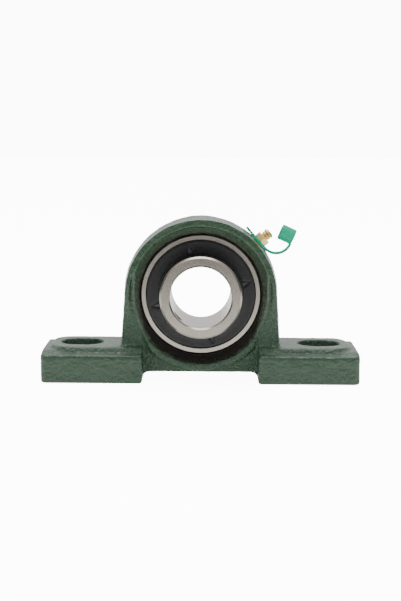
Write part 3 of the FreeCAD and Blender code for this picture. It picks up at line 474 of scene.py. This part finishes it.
def painted_tongue_highlights(tree, place):
    """1 on the tongues of the staking marks, painted lighter as a highlight, a quarter turn apart."""
    parts = add(tree, "ShaderNodeSeparateXYZ", {"Vector": place}).outputs
    radius = radius_from_shaft(tree, place)
    angle = calc(tree, "ARCTAN2", parts["Z"], parts["X"])
    angle = calc(tree, "SUBTRACT", angle, FIRST_MARK)
    angle = calc(tree, "WRAP", angle, QUARTER / 2, -QUARTER / 2)
    angle = calc(tree, "ABSOLUTE", angle)
    aside = calc(tree, "MULTIPLY", angle, radius)
    width = ranged(tree, radius, (MARK_OPEN, MARK_TIP), (TONGUE_WIDTH / 2, 0.0))
    inner = calc(tree, "SUBTRACT", width, aside)
    tongue = ranged(tree, inner, (0.0, TONGUE_EDGE))
    beyond = calc(tree, "GREATER_THAN", radius, MARK_OPEN)
    return calc(tree, "MULTIPLY", tongue, beyond)


# %% [markdown]
# Slingers and set screws are blackened steel: a thin oxide of charcoal colour that is satin from its oil. A black
# finish on metal hardly shows the metal, so it is built as a dark coat with a low index and not as a metal.

# %% Blackened steel
def blackened_steel():
    """Dark oxide on steel, slightly cloudy, with a painted highlight on the tongues of the staking marks."""
    material, tree, shader = new_material("blackened_steel")
    place = place_from_shaft(tree)
    cloud = noise(tree, place, 3 * MM, Detail=4.0, Roughness=0.6)
    pores = noise(tree, place, 0.4 * MM)
    tint = mixed(tree, cloud, linear("#050507"), linear("#0a0c0e"))
    tongue_highlight = painted_tongue_highlights(tree, place)
    # Painted highlight: the tongues of the staking marks are drawn lighter.
    tint = mixed(tree, tongue_highlight, tint, linear("#2c2e30"))
    gloss = ranged(tree, cloud, NOISE_SPAN, (0.33, 0.46))
    relief = bumped(tree, pores, 0.01 * MM)
    give(shader, {"Base Color": tint, "Roughness": gloss, "Normal": relief, "IOR": 1.45})
    return material


# %% [markdown]
# The seals are moulded nitrile rubber, black with soot. Only a sliver of them shows between slinger and ring, so a
# faint grain in colour and height is enough.

# %% Nitrile rubber
def nitrile_rubber():
    """Black moulded rubber, faintly grained."""
    material, tree, shader = new_material("nitrile_rubber")
    grain = noise(tree, place_from_shaft(tree), 0.3 * MM, Detail=3.0)
    tint = mixed(tree, grain, linear("#08080a"), linear("#101012"))
    relief = bumped(tree, grain, 0.01 * MM)
    give(shader, {"Base Color": tint, "Normal": relief, "Roughness": 0.55})
    return material


# %% [markdown]
# The cage is pressed from cold rolled strip. Rolling draws every flaw out into a streak, and noise squeezed along
# one direction gives just that. The same streaks change the gloss.

# %% Pressed strip steel
def pressed_strip():
    """Bright cold rolled strip with faint rolling streaks."""
    material, tree, shader = new_material("pressed_strip_steel")
    stretched = add(tree, "ShaderNodeMapping", {"Vector": place_from_shaft(tree), "Scale": (1, 0.1, 1)})
    streaks = noise(tree, stretched.outputs["Vector"], 0.5 * MM, Detail=3.0)
    tint = mixed(tree, streaks, linear("#8f8f90"), linear("#b5b5b4"))
    gloss = ranged(tree, streaks, WIDE_SPAN, (0.25, 0.4))
    relief = bumped(tree, streaks, 0.008 * MM)
    give(shader, {"Base Color": tint, "Roughness": gloss, "Normal": relief, "Metallic": 1.0})
    return material


# %% [markdown]
# The nipple is steel with zinc on it, and a yellow chromate film over that. The film is so thin that its colour
# shifts with its thickness, from green through gold to pink. A colour ramp over slow noise stands for the thickness.

# %% Yellow chromate on zinc
FILM_SHADES = ((0.36, "#b8c784"), (0.46, "#dcc07c"), (0.56, "#d8b878"), (0.66, "#dca698"))


def yellow_zinc():
    """Zinc with a yellow chromate film of uneven thickness."""
    material, tree, shader = new_material("yellow_chromate_zinc")
    place = place_from_shaft(tree)
    film = noise(tree, place, 2.2 * MM, Detail=1.0)
    skin = noise(tree, place, 0.3 * MM)
    bands = add(tree, "ShaderNodeValToRGB", {"Fac": film})
    stops = bands.color_ramp.elements
    stops.remove(stops[1])
    stops[0].position = FILM_SHADES[0][0]
    stops[0].color = linear(FILM_SHADES[0][1])
    for position, colour in FILM_SHADES[1:]:
        stops.new(position).color = linear(colour)
    relief = bumped(tree, skin, 0.01 * MM)
    give(shader, {"Base Color": bands.outputs["Color"], "Normal": relief, "Metallic": 1.0, "Roughness": 0.36})
    return material


# %% [markdown]
# Cap, strap and ring are one moulding of soft polyethylene in a loud blue green, so that a missing cap is noticed.
# The plastic is waxy: light goes a little way in and softens the shading, and the gloss is dull. It lets some light
# through, so it seems to glow; a little light of its own stands for that in a wall this thin.

# %% Green polyethylene
def green_polyethylene():
    """Waxy moulded plastic with light scattering inside it."""
    material, tree, shader = new_material("green_polyethylene")
    place = place_from_shaft(tree)
    flow = noise(tree, place, 4 * MM)
    skin = noise(tree, place, 0.5 * MM)
    tint = mixed(tree, flow, linear("#008061"), linear("#008869"))
    relief = bumped(tree, skin, 0.01 * MM)
    give(shader, {
        "Base Color": tint, "Normal": relief, "Roughness": 0.5, "IOR": 1.51,
        "Subsurface Weight": 0.2, "Subsurface Scale": 1.0 * MM, "Subsurface Radius": (0.1, 1.0, 0.7),
        "Specular IOR Level": 0.2, "Emission Color": linear("#00e0a0"), "Emission Strength": 0.22,
    })
    return material


# %% [markdown]
# Each finish is made once, and a table ties it to the name that the record has for that kind of surface. Balls are
# the same steel as the rings, but lapped to a mirror.

# %% All finishes
ENAMEL = enamelled_cast_iron()
RING_STEEL = ground_steel("ground_ring_steel")
BALL_STEEL = ground_steel("polished_ball_steel", "#c8c6c2", "#bebbb6", 0.12)
BLACK_STEEL = blackened_steel()
RUBBER = nitrile_rubber()
STRIP = pressed_strip()
ZINC = yellow_zinc()
PLASTIC = green_polyethylene()
FINISHES = {
    "enamelled_iron": ENAMEL, "bearing_steel": RING_STEEL, "seal_rubber": RUBBER, "black_steel": BLACK_STEEL,
    "pressed_steel": STRIP, "yellow_plating": ZINC, "green_plastic": PLASTIC,
}
print("materials:", ", ".join(sorted(m.name for m in FINISHES.values())))

# %% [markdown]
# The construction's own pieces are right in shape where they are plain turned or pressed metal, so they stay and only
# get their finish. The record says which kind of surface each one has.

# %% Finishes for the construction's pieces
for part in frame["record"]["subparts"]:
    node = frame["nodes"][part["node"]]
    finish = BALL_STEEL if "ball" in part["node"] else FINISHES[part["material_slot"]]
    node.data.materials.clear()
    node.data.materials.append(finish)

# %% [markdown]
# Some pieces are made finer below. Where one has modifiers, node trees among them, they are worked out into a plain
# mesh; then most ride on a body, and each stands for the construction's own piece.

# %% Helpers for new pieces
def new_piece(name, mesh):
    """A scene object for a mesh."""
    piece = bpy.data.objects.new(name, mesh)
    bpy.context.scene.collection.objects.link(piece)
    return piece


def settle(piece):
    """Work a piece's modifiers out into a plain mesh."""
    graph = bpy.context.evaluated_depsgraph_get()
    mesh = bpy.data.meshes.new_from_object(piece.evaluated_get(graph))
    mesh.name = piece.name
    piece.modifiers.clear()
    piece.data = mesh
    print(piece.name, len(mesh.polygons), "faces")


# %% [markdown]
# Where a shape follows a rule, a geometry node tree is the rule, and its sizes are inputs with names, so that someone
# can turn them in Blender. Every tree begins with its sizes and ends by making instances real and setting the finish.

# %% Helpers for rules
def rule(name, sizes):
    """An empty geometry node tree that has these named sizes as inputs, and its input sockets."""
    tree = bpy.data.node_groups.new(name, "GeometryNodeTree")
    tree.interface.new_socket("Geometry", in_out="INPUT", socket_type="NodeSocketGeometry")
    for size, value in sizes.items():
        kind = "NodeSocketMaterial" if isinstance(value, bpy.types.Material) else "NodeSocketFloat"
        tree.interface.new_socket(size, in_out="INPUT", socket_type=kind)
    tree.interface.new_socket("Geometry", in_out="OUTPUT", socket_type="NodeSocketGeometry")
    return tree, add(tree, "NodeGroupInput").outputs


def close_rule(tree, geometry, finish):
    """End a tree: instances made real, then the finish."""
    real = add(tree, "GeometryNodeRealizeInstances", {"Geometry": geometry})
    coated = add(tree, "GeometryNodeSetMaterial", {"Geometry": real.outputs["Geometry"], "Material": finish})
    add(tree, "NodeGroupOutput", {"Geometry": coated.outputs["Geometry"]})


def follow(piece, tree, sizes):
    """Put a tree on a piece with its sizes."""
    modifier = piece.modifiers.new(tree.name, "NODES")
    modifier.node_group = tree
    for socket in tree.interface.items_tree:
        if socket.item_type == "SOCKET" and socket.in_out == "INPUT" and socket.name in sizes:
            modifier[socket.identifier] = sizes[socket.name]


# %% [markdown]
# Several changes to the housing's shape hold in one region and fade out round it. A region is a product of ramps: each
# ramp says how far a height, a depth or a radius lies between two levels, and where any of them is 0 nothing moves.
# The levels are pairs of millimetres: first where the ramp is 0, then where it is 1.

# %% Fading a change out
def within(tree, amount, ramps):
    """The amount, faded by one soft ramp for each (value, (where it is 0, where it is 1)), in millimetres."""
    for value, (none, full) in ramps:
        near = eased(tree, value, (none * MM, full * MM))
        amount = calc(tree, "MULTIPLY", near, amount)
    return amount


# %% [markdown]
# Nothing on a sand casting is sharp or quite flat. The construction's housing has clean faces, so it is given a skin
# that moves three ways. Slow waves push it in and out, except on the seat and the underside, which were machined. The
# front and back edges of the feet's tops fall. And the flank, which lies behind the barrel's face low down, comes
# forward with height until it is level with that face, so that the step between them fades out.

# %% Sizes and waves of the cast skin
SKIN_SIZES = {
    "Wave Length": 5.5 * MM, "Wave Depth": 0.16 * MM, "Axis Height": AXIS_HEIGHT, "Seat Radius": 32.0 * MM,
    "Seat Room": 0.1 * MM, "Foot Fall": 1.6 * MM, "Face Level": 15.0 * MM, "Finish": ENAMEL,
}
ABOVE_UNDERSIDE = (0.4 * MM, 1.6 * MM)
FOOT_EDGE = (14.5, 21)
ABOVE_FOOT_SIDE = (9, 14)
BELOW_FLANK = (23, 19)
FLANK_HEIGHT = (-16, 6)
FLANK_SKIN = (11.5, 12.6)
OUTSIDE_MOUTH = (34.4, 35.4)


def wave_push(tree, size, place, radius, height):
    """How far the skin moves along its own direction: waves on the casting, a little room on the seat."""
    often = calc(tree, "DIVIDE", 1.0, size["Wave Length"])
    waves = add(tree, "ShaderNodeTexNoise", {"Vector": place, "Scale": often, "Detail": 1.5}).outputs["Fac"]
    swing = ranged(tree, waves, NOISE_SPAN, (-1.0, 0.3))
    above = ranged(tree, height, ABOVE_UNDERSIDE)
    depth = calc(tree, "MULTIPLY", swing, size["Wave Depth"])
    depth = calc(tree, "MULTIPLY", depth, above)
    room = calc(tree, "MULTIPLY", size["Seat Room"], -1.0)
    cast = add(tree, "FunctionNodeCompare", {0: radius, 1: size["Seat Radius"]},
               operation="GREATER_THAN").outputs["Result"]
    return add(tree, "GeometryNodeSwitch", {"Switch": cast, "False": room, "True": depth},
               input_type="FLOAT").outputs["Output"]


# %% [markdown]
# The rule adds three moves up: the waves along the skin's own direction, the fall of the feet's edges, and the rise of
# the flank. Depth counts both ways from the middle plane, so that front and back move alike.

# %% A rule for the cast skin
def cast_skin_rule():
    """Waves, falling foot edges, and a flank that comes forward with height."""
    tree, size = rule("cast_skin", SKIN_SIZES)
    place = add(tree, "GeometryNodeInputPosition").outputs["Position"]
    normal = add(tree, "GeometryNodeInputNormal").outputs["Normal"]
    parts = add(tree, "ShaderNodeSeparateXYZ", {"Vector": place}).outputs
    deep = calc(tree, "ABSOLUTE", parts["Y"])
    shaft = add(tree, "ShaderNodeCombineXYZ", {"Z": size["Axis Height"]}).outputs["Vector"]
    centred = add(tree, "ShaderNodeVectorMath", {0: place, 1: shaft}, operation="SUBTRACT").outputs["Vector"]
    from_shaft = add(tree, "ShaderNodeSeparateXYZ", {"Vector": centred}).outputs["Z"]
    flat = add(tree, "ShaderNodeVectorMath", {0: centred, 1: (1, 0, 1)}, operation="MULTIPLY").outputs["Vector"]
    radius = add(tree, "ShaderNodeVectorMath", {0: flat}, operation="LENGTH").outputs["Value"]

    waves = wave_push(tree, size, place, radius, parts["Z"])
    push = add(tree, "ShaderNodeVectorMath", {0: normal, "Scale": waves}, operation="SCALE").outputs["Vector"]

    fall = calc(tree, "MULTIPLY", size["Foot Fall"], -1.0)
    fall = within(tree, fall, ((deep, FOOT_EDGE), (parts["Z"], ABOVE_FOOT_SIDE), (parts["Z"], BELOW_FLANK)))

    behind = calc(tree, "SUBTRACT", size["Face Level"], deep)
    rise = within(tree, behind, ((from_shaft, FLANK_HEIGHT), (deep, FLANK_SKIN), (radius, OUTSIDE_MOUTH)))
    rise = calc(tree, "MAXIMUM", rise, 0.0)
    side = calc(tree, "SIGN", parts["Y"])
    rise = calc(tree, "MULTIPLY", rise, side)

    shift = add(tree, "ShaderNodeCombineXYZ", {"Y": rise, "Z": fall}).outputs["Vector"]
    push = add(tree, "ShaderNodeVectorMath", {0: push, 1: shift}, operation="ADD").outputs["Vector"]
    moved = add(tree, "GeometryNodeSetPosition", {"Geometry": size["Geometry"], "Offset": push}).outputs["Geometry"]
    smooth = add(tree, "GeometryNodeSetShadeSmooth", {"Geometry": moved}).outputs["Geometry"]
    close_rule(tree, smooth, size["Finish"])
    return tree


# %% [markdown]
# The skin starts from a copy of the construction's housing. The edge round the underside is bevelled while the copy
# still has its clean faces. Then the copy is rebuilt from small cubes and smoothed, which makes every other edge about
# as round as paint and sand make it, and last comes the rule.

# %% The cast housing
FOOT_ROUNDING = 1.1 * MM
CUBE_SIZE = 0.62 * MM
SHARP = math.radians(60)
WELD = 0.001 * MM

work = bmesh.new()
work.from_mesh(frame["nodes"]["housing"].data)
bmesh.ops.remove_doubles(work, verts=work.verts, dist=WELD)
underside = [
    edge for edge in work.edges
    if all(v.co.z < 0.01 * MM for v in edge.verts) and len(edge.link_faces) == 2 and edge.calc_face_angle() > SHARP
]
bmesh.ops.bevel(work, geom=underside, offset=FOOT_ROUNDING, segments=3, affect="EDGES", profile=0.5,
                clamp_overlap=False)
print(len(underside), "edges of the underside rounded")
mesh = bpy.data.meshes.new("cast_housing")
work.to_mesh(mesh)
work.free()
housing = new_piece("cast_housing", mesh)
cubes = housing.modifiers.new("cubes", "REMESH")
cubes.mode = "VOXEL"
cubes.voxel_size = CUBE_SIZE
rounding = housing.modifiers.new("rounding", "SMOOTH")
rounding.factor = 0.5
rounding.iterations = 1
follow(housing, cast_skin_rule(), SKIN_SIZES)
settle(housing)
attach(housing, "base")
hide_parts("housing")

# %% [markdown]
# Most small pieces of a bearing are turned on a lathe. A helper spins a closed outline round an axis into a ring of
# faces and moves the result to its place. Hexagons are turned as well: a spanner's six flats hold the radius back.

# %% A lathe
CREASE = math.radians(35)


def turned_piece(name, outline, place, steps=144, flats=None):
    """A ring turned from a closed outline of (radius, along) points. Flats give an across-flats width for six sides."""
    work = bmesh.new()
    rows = []
    for radius, along in outline:
        row = []
        for step in range(steps):
            angle = 2 * math.pi * step / steps
            side = flats / 2 / math.cos((angle + math.pi / 6) % (math.pi / 3) - math.pi / 6) if flats else radius
            reach = min(radius, side)
            row.append(work.verts.new((reach * math.cos(angle), reach * math.sin(angle), along)))
        rows.append(row)
    for one, two in zip(rows, rows[1:] + rows[:1]):
        for a, b, c, d in zip(one, one[1:] + one[:1], two[1:] + two[:1], two):
            work.faces.new((a, b, c, d))
    bmesh.ops.remove_doubles(work, verts=work.verts, dist=WELD)
    work.transform(place)
    bmesh.ops.recalc_face_normals(work, faces=work.faces)
    for face in work.faces:
        face.smooth = True
    mesh = bpy.data.meshes.new(name)
    work.to_mesh(mesh)
    work.free()
    mesh.set_sharp_from_angle(angle=CREASE)
    return new_piece(name, mesh)


# %% [markdown]
# No turned edge is quite sharp. An outline is written as corners with a rounding each, and a helper puts a short
# curve in place of every corner, which is lighter than a bevel on the finished mesh and goes just where it is wanted.

# %% Rounded outlines
def rounded(corner, towards_one, towards_two, size, steps=4):
    """Points that round a corner of an outline, from one side to the other."""
    corner, one, two = Vector(corner), Vector(towards_one), Vector(towards_two)
    start = corner + (one - corner).normalized() * size
    end = corner + (two - corner).normalized() * size
    points = []
    for step in range(steps + 1):
        t = step / steps
        points.append(tuple(start * (1 - t) ** 2 + corner * 2 * t * (1 - t) + end * t ** 2))
    return points


def rounded_outline(corners):
    """An outline whose corners, given as (radius, along, rounding), are rounded."""
    points = []
    for i, (r, y, size) in enumerate(corners):
        before, after = corners[i - 1][:2], corners[(i + 1) % len(corners)][:2]
        points += rounded((r, y), before, after, size) if size else [(r, y)]
    return points


# %% [markdown]
# A staking punch with a V shaped edge drives a tongue of the disc against the ring and leaves two creases that meet
# outside. One V is drawn as a bent line and swept with a small square that stands on its corner. It is copied to
# points round the shaft, and a Boolean cuts all copies out of the disc.

# %% A rule for the staking marks
SLINGER_FACE = 9.2525 * MM
MARK_SIZES = {
    "Count": 4.0, "First Angle": FIRST_MARK, "Tip Radius": MARK_TIP, "Open Radius": MARK_OPEN,
    "Half Width": 1.35 * MM, "Groove": 0.8 * MM, "Level": SLINGER_FACE, "Side": -1.0,
    "Axis Height": AXIS_HEIGHT, "Finish": BLACK_STEEL,
}


def staking_rule():
    """Cut V shaped creases into a disc, evenly round the shaft."""
    tree, size = rule("staking_marks", MARK_SIZES)
    line = add(tree, "GeometryNodeMeshLine", {"Count": 3}).outputs["Mesh"]
    index = add(tree, "GeometryNodeInputIndex").outputs["Index"]
    arm = calc(tree, "SUBTRACT", index, 1.0)
    reach = calc(tree, "ABSOLUTE", arm)
    span = calc(tree, "SUBTRACT", size["Open Radius"], size["Tip Radius"])
    along = calc(tree, "MULTIPLY_ADD", reach, span, size["Tip Radius"])
    across = calc(tree, "MULTIPLY", arm, size["Half Width"])
    corner = add(tree, "ShaderNodeCombineXYZ", {"X": along, "Z": across}).outputs["Vector"]
    vee = add(tree, "GeometryNodeSetPosition", {"Geometry": line, "Position": corner}).outputs["Geometry"]
    curve = add(tree, "GeometryNodeMeshToCurve", {"Mesh": vee}).outputs["Curve"]
    square = add(tree, "GeometryNodeCurvePrimitiveCircle", {"Resolution": 4, "Radius": size["Groove"]})
    cutter = add(tree, "GeometryNodeCurveToMesh", {"Curve": curve, "Profile Curve": square.outputs["Curve"],
                                                   "Fill Caps": True}).outputs["Mesh"]
    height = calc(tree, "MULTIPLY", size["Level"], size["Side"])
    centre = add(tree, "ShaderNodeCombineXYZ", {"Y": height, "Z": size["Axis Height"]}).outputs["Vector"]
    spots = add(tree, "GeometryNodePoints", {"Count": size["Count"], "Position": centre}).outputs[0]
    step = calc(tree, "DIVIDE", -2 * math.pi, size["Count"])
    turn = calc(tree, "MULTIPLY", index, step)
    turn = calc(tree, "SUBTRACT", turn, size["First Angle"])
    turned = add(tree, "ShaderNodeCombineXYZ", {"Y": turn}).outputs["Vector"]
    cutters = add(tree, "GeometryNodeInstanceOnPoints", {"Points": spots, "Instance": cutter, "Rotation": turned})
    real = add(tree, "GeometryNodeRealizeInstances", {"Geometry": cutters.outputs["Instances"]})
    cut = add(tree, "GeometryNodeMeshBoolean", {"Mesh 1": size["Geometry"], "Mesh 2": real.outputs["Geometry"]},
              operation="DIFFERENCE", solver="EXACT")
    close_rule(tree, cut.outputs["Mesh"], size["Finish"])
    return tree


# %% [markdown]
# A slinger is a pressed disc that turns with the inner ring and throws dirt outwards. It stands up in a short collar
# where it grips the ring, is slightly dished, and has a lip round its rim. The same outline makes both, mirrored
# for the back.

# %% The slingers
SLINGER_HOLE = 20.15 * MM
SLINGER_RIM = 26.9 * MM
SLINGER_BACK = 8.3525 * MM
COLLAR_TOP = 9.9525 * MM
COLLAR_RADIUS = 21.05 * MM
ABOUT_SHAFT = Matrix.Translation((0, 0, AXIS_HEIGHT)) @ Matrix.Rotation(math.radians(-90), 4, "X")

slinger_corners = [
    (SLINGER_HOLE, SLINGER_BACK, 0), (SLINGER_HOLE, COLLAR_TOP, 0.2 * MM), (COLLAR_RADIUS, COLLAR_TOP, 0.3 * MM),
    (COLLAR_RADIUS + 0.1 * MM, SLINGER_FACE - 0.12 * MM, 0.3 * MM), (24.5 * MM, SLINGER_FACE - 0.1 * MM, 0.8 * MM),
    (SLINGER_RIM - 0.7 * MM, SLINGER_FACE, 0.3 * MM), (SLINGER_RIM, SLINGER_FACE - 0.2 * MM, 0.2 * MM),
    (SLINGER_RIM, SLINGER_BACK, 0.15 * MM),
]
staking = staking_rule()
for name, side in (("slinger_front", -1.0), ("slinger_back", 1.0)):
    outline = [(r, side * y) for r, y in rounded_outline(slinger_corners)]
    slinger = turned_piece("staked_" + name, outline, ABOUT_SHAFT)
    follow(slinger, staking, {**MARK_SIZES, "Side": side})
    settle(slinger)
    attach(slinger, "inner")
    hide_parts(name)

# %% [markdown]
# The grease nipple leans 41.5 degrees above the level. It is turned from hexagon bar: six flats for the spanner with
# their corners chamfered, a neck, a ridge, and the rounded head that the grease gun's coupler grips. Levels count from
# the shaft axis, in millimetres like the rest of its outline.

# %% The grease nipple
LEAN = math.radians(41.5)
ON_NIPPLE = Matrix.Translation((0, 0, AXIS_HEIGHT)) @ Matrix.Rotation(math.radians(90) - LEAN, 4, "Y")
SPOT_FACE = 38.05
HEXAGON_FOOT = 39.15
HEXAGON_TOP = 42.05
HEXAGON_WIDTH = 6.9
NIPPLE_TIP = 45.85
FINE_STEPS = 96


def nipple_piece(name, corners, flats=None):
    """Part of the nipple from (radius, level, rounding) in millimetres."""
    outline = rounded_outline([(r * MM, level * MM, size * MM) for r, level, size in corners])
    piece = turned_piece(name, outline, ON_NIPPLE, steps=FINE_STEPS, flats=flats)
    piece.data.materials.append(ZINC)
    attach(piece, "base")
    return piece


nipple_piece("nipple_hexagon", [
    (2.9, HEXAGON_FOOT, 0), (3.45, HEXAGON_FOOT, 0.05), (4.0, 39.5, 0.1), (4.0, 41.6, 0.1), (3.3, HEXAGON_TOP, 0.1),
    (2.0, HEXAGON_TOP, 0), (2.0, HEXAGON_FOOT, 0),
], flats=HEXAGON_WIDTH * MM)
stem = nipple_piece("nipple_head", [
    (1.3, 33.1, 0), (3.0, 33.1, 0.2), (3.0, 39.12, 0), (2.1, 39.12, 0), (2.1, 42.6, 0.1), (2.65, 42.85, 0.12),
    (2.65, 43.35, 0.12), (2.15, 43.6, 0.1), (2.15, 43.8, 0.1), (2.75, 44.4, 0.2), (2.75, 44.9, 0.3),
    (1.6, NIPPLE_TIP, 0.15), (0.62, NIPPLE_TIP, 0.05), (0.62, 45.45, 0), (1.3, 44.8, 0),
])
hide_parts("grease_nipple")
print("nipple tip at", round(max(v.co.z for v in stem.data.vertices) / MM, 1), "mm")

# %% [markdown]
# Inside the nipple a wire spring holds the check ball against its mouth; a grease gun that pushes the ball in by 1 mm
# makes it shorter by as much. Here only its foot and its line along the nipple are worked out, and it gets its own
# mesh.

# %% The spring of the nipple
SPRING_FOOT = NIPPLE_TIP - 7.6

spring = frame["nodes"]["nipple_spring"]
foot = ON_NIPPLE @ Vector((0, 0, SPRING_FOOT * MM))
along = ON_NIPPLE @ Vector((0, 0, NIPPLE_TIP * MM)) - foot
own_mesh(spring)

# %% [markdown]
# A ring under the hexagon holds the dust cap's strap. To one side it ends in a flat tail and to the other in a short
# lug, where the strap begins. Both are cut from one shape: a flat strip whose free end may be round.

# %% A flat strip
TAIL_HALF_WIDTH = 1.3 * MM
TAIL_THICKNESS = 1.2 * MM
BAND_LEVEL = (SPOT_FACE + HEXAGON_FOOT) / 2 * MM
ROUND_STEPS = 12


def flat_band(name, start, end, rounded_end):
    """A flat strip along the barrel, with its free end round."""
    plan = [(start, TAIL_HALF_WIDTH), (start, -TAIL_HALF_WIDTH)]
    middle = end + TAIL_HALF_WIDTH if rounded_end else end
    steps = ROUND_STEPS if rounded_end else 1
    for step in range(steps + 1):
        angle = math.pi * step / steps
        reach = math.sin(angle) * TAIL_HALF_WIDTH if rounded_end else 0
        plan.append((middle - reach, -TAIL_HALF_WIDTH * math.cos(angle)))
    work = bmesh.new()
    low, high = ([work.verts.new((x, y, BAND_LEVEL + side * TAIL_THICKNESS / 2)) for x, y in plan]
                 for side in (-1, 1))
    work.faces.new(low)
    work.faces.new(high[::-1])
    for a, b, c, d in zip(low, low[1:] + low[:1], high[1:] + high[:1], high):
        work.faces.new((a, b, c, d))
    work.transform(ON_NIPPLE)
    bmesh.ops.recalc_face_normals(work, faces=work.faces)
    mesh = bpy.data.meshes.new(name)
    work.to_mesh(mesh)
    work.free()
    return new_piece(name, mesh)


# %% [markdown]
# Ring, tail and lug are simple closed shapes that a Boolean joins into one skin, so that no wall is left inside and
# the piece is one body, as a moulding is.

# %% The ring with its tail
RING_HOLE = 3.0 * MM
RING_RADIUS = 4.1 * MM
RING_ROUNDING = 0.25 * MM
INSIDE_RING = 3.4 * MM
TAIL_END = 9.7 * MM
LUG_END = 4.45 * MM

washer = [
    (RING_HOLE, SPOT_FACE * MM, 0), (RING_RADIUS, SPOT_FACE * MM, RING_ROUNDING),
    (RING_RADIUS, HEXAGON_FOOT * MM, RING_ROUNDING), (RING_HOLE, HEXAGON_FOOT * MM, 0),
]
ring = turned_piece("ring_with_tail", rounded_outline(washer), ON_NIPPLE, steps=FINE_STEPS)
strips = [flat_band("tail", -INSIDE_RING, -TAIL_END, True), flat_band("lug", LUG_END, INSIDE_RING, False)]
for strip in strips:
    joint = ring.modifiers.new("join_" + strip.name, "BOOLEAN")
    joint.operation = "UNION"
    joint.solver = "EXACT"
    joint.object = strip
settle(ring)
for strip in strips:
    bpy.data.objects.remove(strip)
ring.data.materials.clear()
ring.data.materials.append(PLASTIC)
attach(ring, "base")
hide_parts("cap_ring")

# %% [markdown]
# The dust cap is a small open cup. Here it has been pulled off and stands beside the nipple on its strap, its closed
# end down to the right and its mouth towards the nipple.

# %% The dust cap
STRAP_LEAVES = 4.3 * MM
CURL_RADIUS = 7.5 * MM
CURL = math.radians(114)
CAP_RADIUS = 3.93 * MM
CAP_LENGTH = 7.35 * MM
CAP_WALL = 0.75 * MM
CAP_REACH = 3.95 * MM
CAP_DROP = 0.28 * MM

curl_end = Vector((STRAP_LEAVES + CURL_RADIUS * math.sin(CURL), 0, BAND_LEVEL + CURL_RADIUS * (1 - math.cos(CURL))))
cap_foot = curl_end + CAP_REACH * Vector((math.cos(CURL), 0, math.sin(CURL)))
cap_foot += CAP_DROP * Vector((math.sin(CURL), 0, -math.cos(CURL)))
ON_CAP = Matrix.Translation(ON_NIPPLE @ cap_foot) @ Matrix.Rotation(math.radians(90) - LEAN - CURL, 4, "Y")
cup = [
    (0, 0, 0), (CAP_RADIUS, 0, 0.5 * MM), (CAP_RADIUS, CAP_LENGTH, 0.2 * MM),
    (CAP_RADIUS - CAP_WALL, CAP_LENGTH, 0.2 * MM), (CAP_RADIUS - CAP_WALL, CAP_WALL, 0.3 * MM), (0, CAP_WALL, 0),
]
cap = turned_piece("open_dust_cap", rounded_outline(cup), ON_CAP, steps=FINE_STEPS)
cap.data.materials.append(PLASTIC)
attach(cap, "dust_cap")
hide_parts("dust_cap")
print("cap from", [round(v / MM, 1) for v in ON_NIPPLE @ cap_foot], "mm")

# %% [markdown]
# The strap of the dust cap is a flat band that springs in an arc from the ring to the cap. It is swept along that
# arc by a node tree.

# %% The strap of the cap
STRAP_SIZES = {
    "Arc Radius": CURL_RADIUS, "From Angle": math.radians(220.5), "Sweep": math.radians(118),
    "Width": 2.6 * MM, "Thickness": 1.35 * MM, "Rounding": 0.4 * MM,
    "Centre X": 37.378 * MM, "Centre Z": 70.225 * MM, "Finish": PLASTIC,
}


def strap_rule():
    """A rounded band along an arc that stands upright."""
    tree, size = rule("cap_strap", STRAP_SIZES)
    arc = add(tree, "GeometryNodeCurveArc", {"Resolution": 33, "Radius": size["Arc Radius"],
                                             "Start Angle": size["From Angle"], "Sweep Angle": size["Sweep"]})
    centre = add(tree, "ShaderNodeCombineXYZ", {"X": size["Centre X"], "Z": size["Centre Z"]}).outputs["Vector"]
    upright = add(tree, "GeometryNodeTransform", {"Geometry": arc.outputs["Curve"], "Translation": centre,
                                                  "Rotation": (math.pi / 2, 0, 0)}).outputs["Geometry"]
    band = add(tree, "GeometryNodeCurvePrimitiveQuadrilateral", {"Width": size["Width"],
                                                                 "Height": size["Thickness"]}).outputs["Curve"]
    soft = add(tree, "GeometryNodeFilletCurve", {"Curve": band, "Radius": size["Rounding"], "Count": 3},
               mode="POLY").outputs["Curve"]
    swept = add(tree, "GeometryNodeCurveToMesh", {"Curve": upright, "Profile Curve": soft, "Fill Caps": True})
    smooth = add(tree, "GeometryNodeSetShadeSmooth", {"Geometry": swept.outputs["Mesh"]})
    close_rule(tree, smooth.outputs["Geometry"], size["Finish"])
    return tree


strap = new_piece("moulded_strap", bpy.data.meshes.new("moulded_strap"))
follow(strap, strap_rule(), STRAP_SIZES)
settle(strap)
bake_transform(strap)
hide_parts("cap_strap")
